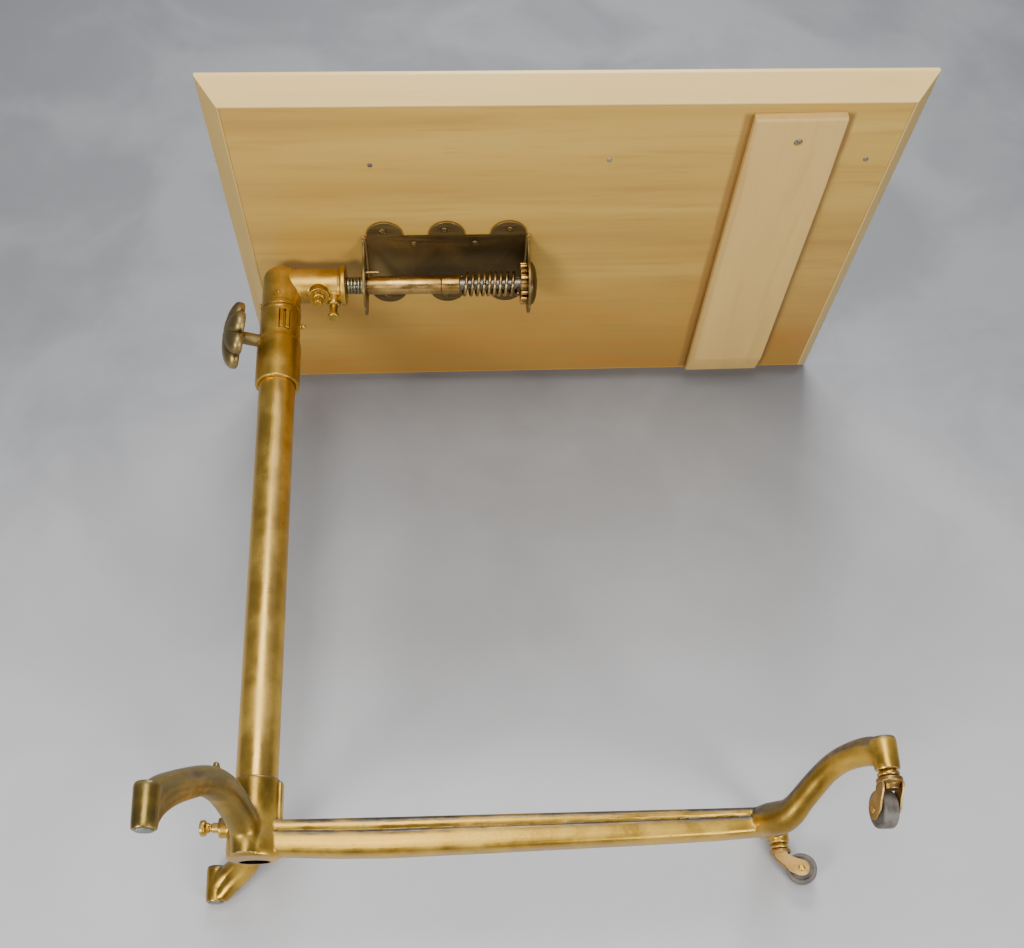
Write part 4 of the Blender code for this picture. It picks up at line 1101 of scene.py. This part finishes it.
def edge_mouldings():
    """Four mitred mouldings; the bevelled face looks down and outwards."""
    for label, nose in (("near", 0.0006), ("right", 0.0003), ("far", -0.0002), ("left", 0.0006)):
        profile = softened([
            (1.0, TABLE_TOP), (0.0, TABLE_TOP), (0.0, EDGE_CORNER_Z), (0.92, TABLE_UNDERSIDE - nose),
            (1.0, TABLE_UNDERSIDE - nose / 2), (1.0, TABLE_UNDERSIDE + 0.002),
        ], 0.0010, 4)
        ends = table_corners(label)
        along = (ends[1][0] - ends[0][0]).normalized()
        rings = [[
            ((outer + share * (inner - outer) + mitre_gap * along).to_tuple() + (height,))
            for share, height in profile
        ] for (outer, inner), mitre_gap in zip(ends, (0.00008, -0.00008))]
        body = bevelled(lofted(rings), 0.0007)
        material = {"near": "edge", "far": "table"}.get(label, "edge_across")
        piece("lipping_" + label, body, material, "table", ["edge_moulding_" + label], 25)


def table_panel():
    """Panel inside the mouldings."""
    corners = [table_corners(label)[0][1] for label in ("near", "right", "far", "left")]
    middle = sum(corners, Vector((0, 0))) / 4
    flat = [(corner + (middle - corner).normalized() * 0.0002).to_tuple() for corner in corners]
    body = bevelled(lofted([[point + (z,) for point in flat] for z in (TABLE_UNDERSIDE, TABLE_TOP)]), 0.0005)
    piece("panel_board", body, "table", "table", ["table_panel"])


def batten():
    """Long strip, thinned towards both ends, with a chamfered inner edge and a rounded far corner."""
    top = TABLE_UNDERSIDE - GAP
    low = top - BATTEN_THICKNESS
    end = BATTEN_END_Y
    lower = softened([
        (-end, top), (-end, top - 0.0078), (-end + 0.002, top - 0.0092), (-0.112, low), (0.168, low),
        (end, top - 0.0055), (end, top),
    ], 0.003, 4)
    body = upright_sheet([lower], BATTEN_X, 0.0008)
    chamfer = block((-0.02, 0.02), (-0.3, 0.3), (-0.0035, 0.0035))
    corner = Matrix.Translation((BATTEN_X[0], 0, low))
    chamfer.data.transform(corner @ Matrix.Rotation(radians(45), 4, "Y"))
    body = cut(body, chamfer)
    centre = Matrix.Translation((sum(BATTEN_X) / 2, 0, 0))
    body.data.transform(centre @ Matrix.Rotation(BATTEN_TURN, 4, "Z") @ centre.inverted())
    x, y = BATTEN_SCREW
    below, above = (x, y, 0.60), (x, y, 0.70)
    body = cut(body, rod(0.0021, below, above, 20), rod(0.0044, below, (x, y, top - BATTEN_SCREW_DEPTH), 32))
    piece("batten_strip", body, "batten", "table", ["batten"], 30)


# ---------- casters ----------

CASTER_TRAIL = 0.018
WHEEL_RADIUS = 0.015
WHEEL_WIDTH = 0.013
CASTER_SHEET = 0.0018
CHEEK_INSIDE = WHEEL_WIDTH / 2 + 0.0008
CASTER_ANGLES = {"near": radians(95), "far": radians(-15)}


def cheek(side):
    outline = [
        (-0.0060, 0.0318), (-0.0058, 0.0285), (-0.0035, 0.0245), (0.0020, 0.0190), (0.0062, 0.0125),
        *circle(CASTER_TRAIL, WHEEL_RADIUS, 0.0082, 18, radians(-130), radians(190)),
        (0.0120, 0.0262), (0.0075, 0.0290), (0.0060, 0.0318),
    ]
    offset = side * (CHEEK_INSIDE + CASTER_SHEET / 2)
    upright = Matrix.Translation((0, offset, 0)) @ Matrix.Rotation(radians(90), 4, "X")
    return sheet([outline, circle(CASTER_TRAIL, WHEEL_RADIUS, 0.0021, 16)], CASTER_SHEET, upright, 0.0004)


def casters():
    hub = ((CASTER_TRAIL, 0, WHEEL_RADIUS), (0, 1, 0))
    rim = RIGHT_RIM - FLOOR_Z - GAP
    for side, label in SIDES:
        place = Matrix.Translation((*foot_place(RIGHT_FOOT, side), FLOOR_Z))
        place = place @ Matrix.Rotation(CASTER_ANGLES[label], 4, "Z")
        cup = lathe([
            (0.0042, 0.0520), (0.0042, rim), (0.0066, rim), (0.0070, rim - 0.0012), (0.0086, rim - 0.0018),
            (0.0088, 0.0378), (0.0078, 0.0365), (0.0030, 0.0365), (0.0030, 0.0465),
        ], radius=0.0007)
        crown = lathe([
            (0.0027, 0.0460), (0.0027, 0.0358), (0.0092, 0.0358), (0.0102, 0.0350), (0.0102, 0.0322),
            (0.0090, 0.0312), (0.0072, 0.0300), (0.0064, 0.0275), (0.0060, 0.0262),
        ], radius=0.0006)
        fork = combine(crown, "UNION", cheek(-1), cheek(1))
        half = CHEEK_INSIDE + CASTER_SHEET + 0.0001
        head = [(0, half + 0.0009), (0.0022, half + 0.0008), (0.0032, half), (0.0019, half)]
        axle = lathe(mirrored(head, 1, -1), *hub, 28, 0.0004)
        w = WHEEL_WIDTH / 2
        face = [
            (0.0055, w), (0.0066, w - 0.0014), (0.0104, w - 0.0014), (0.0122, w - 0.0002),
            (0.0146, w - 0.0006), (WHEEL_RADIUS, w - 0.0018),
        ]
        wheel = lathe(mirrored(face, 1, -1), *hub, 64, 0.0008, bore=0.0022)
        for obj in (cup, fork, axle, wheel):
            obj.data.transform(place)
        body, roller = "caster_" + label, "wheel_" + label
        piece("caster_ring_" + label, cup, "fitting", "base_post", ["caster_cup_" + label])
        piece("caster_yoke_" + label, fork, "yoke", body, ["caster_fork_" + label], 30)
        piece("caster_rivet_" + label, axle, "fitting", body, ["caster_axle_" + label])
        piece("caster_tread_" + label, wheel, "rubber", roller, ["caster_wheel_" + label])


# ---------- stage ----------

BACKDROP_FOOT_Y = 0.1735
BACKDROP_LEAN = 0.085


def stage_surface(name, corners, near_colour, far_colour, heights, roughness):
    """Plain ground that shows only from its front; its colour runs between two heights, a painted falloff of
    light where the two colours differ.
    """
    obj = mesh_of(corners, [(0, 1, 2, 3)])
    obj.name = name
    n = Nodes(name)
    height = n.split(n.place)["Z"]
    tint = n.mix(n.between(height, *heights), near_colour, far_colour)
    tint = n.mix(n.between(n.noise(5.0, 4, distortion=0.5), 0.35, 0.65, 0.0, 0.12), tint, (0.70, 0.70, 0.72))
    n.finish(tint, roughness, 0.0, n.bump(n.noise(70, 3), 0.0006, 0.3))
    facing = n.add("ShaderNodeNewGeometry").outputs["Backfacing"]
    clear = n.add("ShaderNodeBsdfTransparent").outputs["BSDF"]
    mixed = n.add("ShaderNodeMixShader", {0: facing, 1: n.shader.outputs["BSDF"], 2: clear})
    n.feed(n.tree.nodes["Material Output"].inputs["Surface"], mixed.outputs["Shader"])
    obj.data.materials.append(n.material)
    obj.visible_shadow = False
    return obj


def add_stage():
    """Wall right behind the stand, as seen in the main view, and a floor for the views from above."""
    reach, low, high = 6.0, -3.0, 5.0
    outline = ((-reach, low), (reach, low), (reach, high), (-reach, high))
    corners = [(x, BACKDROP_FOOT_Y + BACKDROP_LEAN * z, z) for x, z in outline]
    # Painted shade: the backdrop darkens towards the top.
    stage_surface("backdrop", corners, (0.445, 0.445, 0.455), (0.205, 0.208, 0.218), (0.05, 0.82), 0.5)
    floor = stage_surface("floor", [(-4, -4, 0), (4, -4, 0), (4, 4, 0), (-4, 4, 0)],
                          (0.50, 0.50, 0.515), (0.50, 0.50, 0.515), (-1.0, 1.0), 0.5)
    floor.visible_glossy = False
    floor.visible_diffuse = False


def area_light(name, place, target, size, power, colour=(1, 1, 1)):
    data = bpy.data.lights.new(name, "AREA")
    data.shape = "RECTANGLE"
    data.size, data.size_y = size
    data.energy = power
    data.color = colour
    light = bpy.data.objects.new(name, data)
    bpy.context.scene.collection.objects.link(light)
    light.matrix_world = placement(place, Vector(place) - Vector(target))


def add_lights():
    middle = (0.0, 0.0, 0.40)
    area_light("low_left", (-1.00, -0.85, -0.75), middle, (0.5, 0.5), 19, (1.0, 0.98, 0.94))
    area_light("low_right", (0.75, -0.75, -0.85), middle, (0.5, 0.5), 14, (1.0, 0.98, 0.94))
    area_light("overhead", (0.15, -1.20, 1.90), middle, (1.0, 0.6), 38, (0.97, 0.98, 1.0))
    area_light("front", (-0.20, -2.40, 0.35), middle, (0.9, 1.6), 42, (1.0, 0.99, 0.97))
    world = bpy.data.worlds.new("studio")
    bpy.context.scene.world = world
    world.use_nodes = True
    background = world.node_tree.nodes["Background"]
    background.inputs["Color"].default_value = (0.85, 0.90, 1.0, 1.0)
    background.inputs["Strength"].default_value = 0.22


# ---------- scene ----------

add_camera()
MATERIALS = make_materials()
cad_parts["wheel_key"].data.materials.clear()
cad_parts["wheel_key"].data.materials.append(MATERIALS["steel"])
base_casting()
foot_pads()
post_tube()
post_collar()
guide_key()
collar_pin()
thumb_screw()
clamp_screw()
clamp_knob()
slider_tube()
elbow()
elbow_trim()
spindle_line()
spring()
detent_wheel()
bracket()
bracket_trim()
table_screws()
edge_mouldings()
table_panel()
batten()
casters()
add_stage()
add_lights()
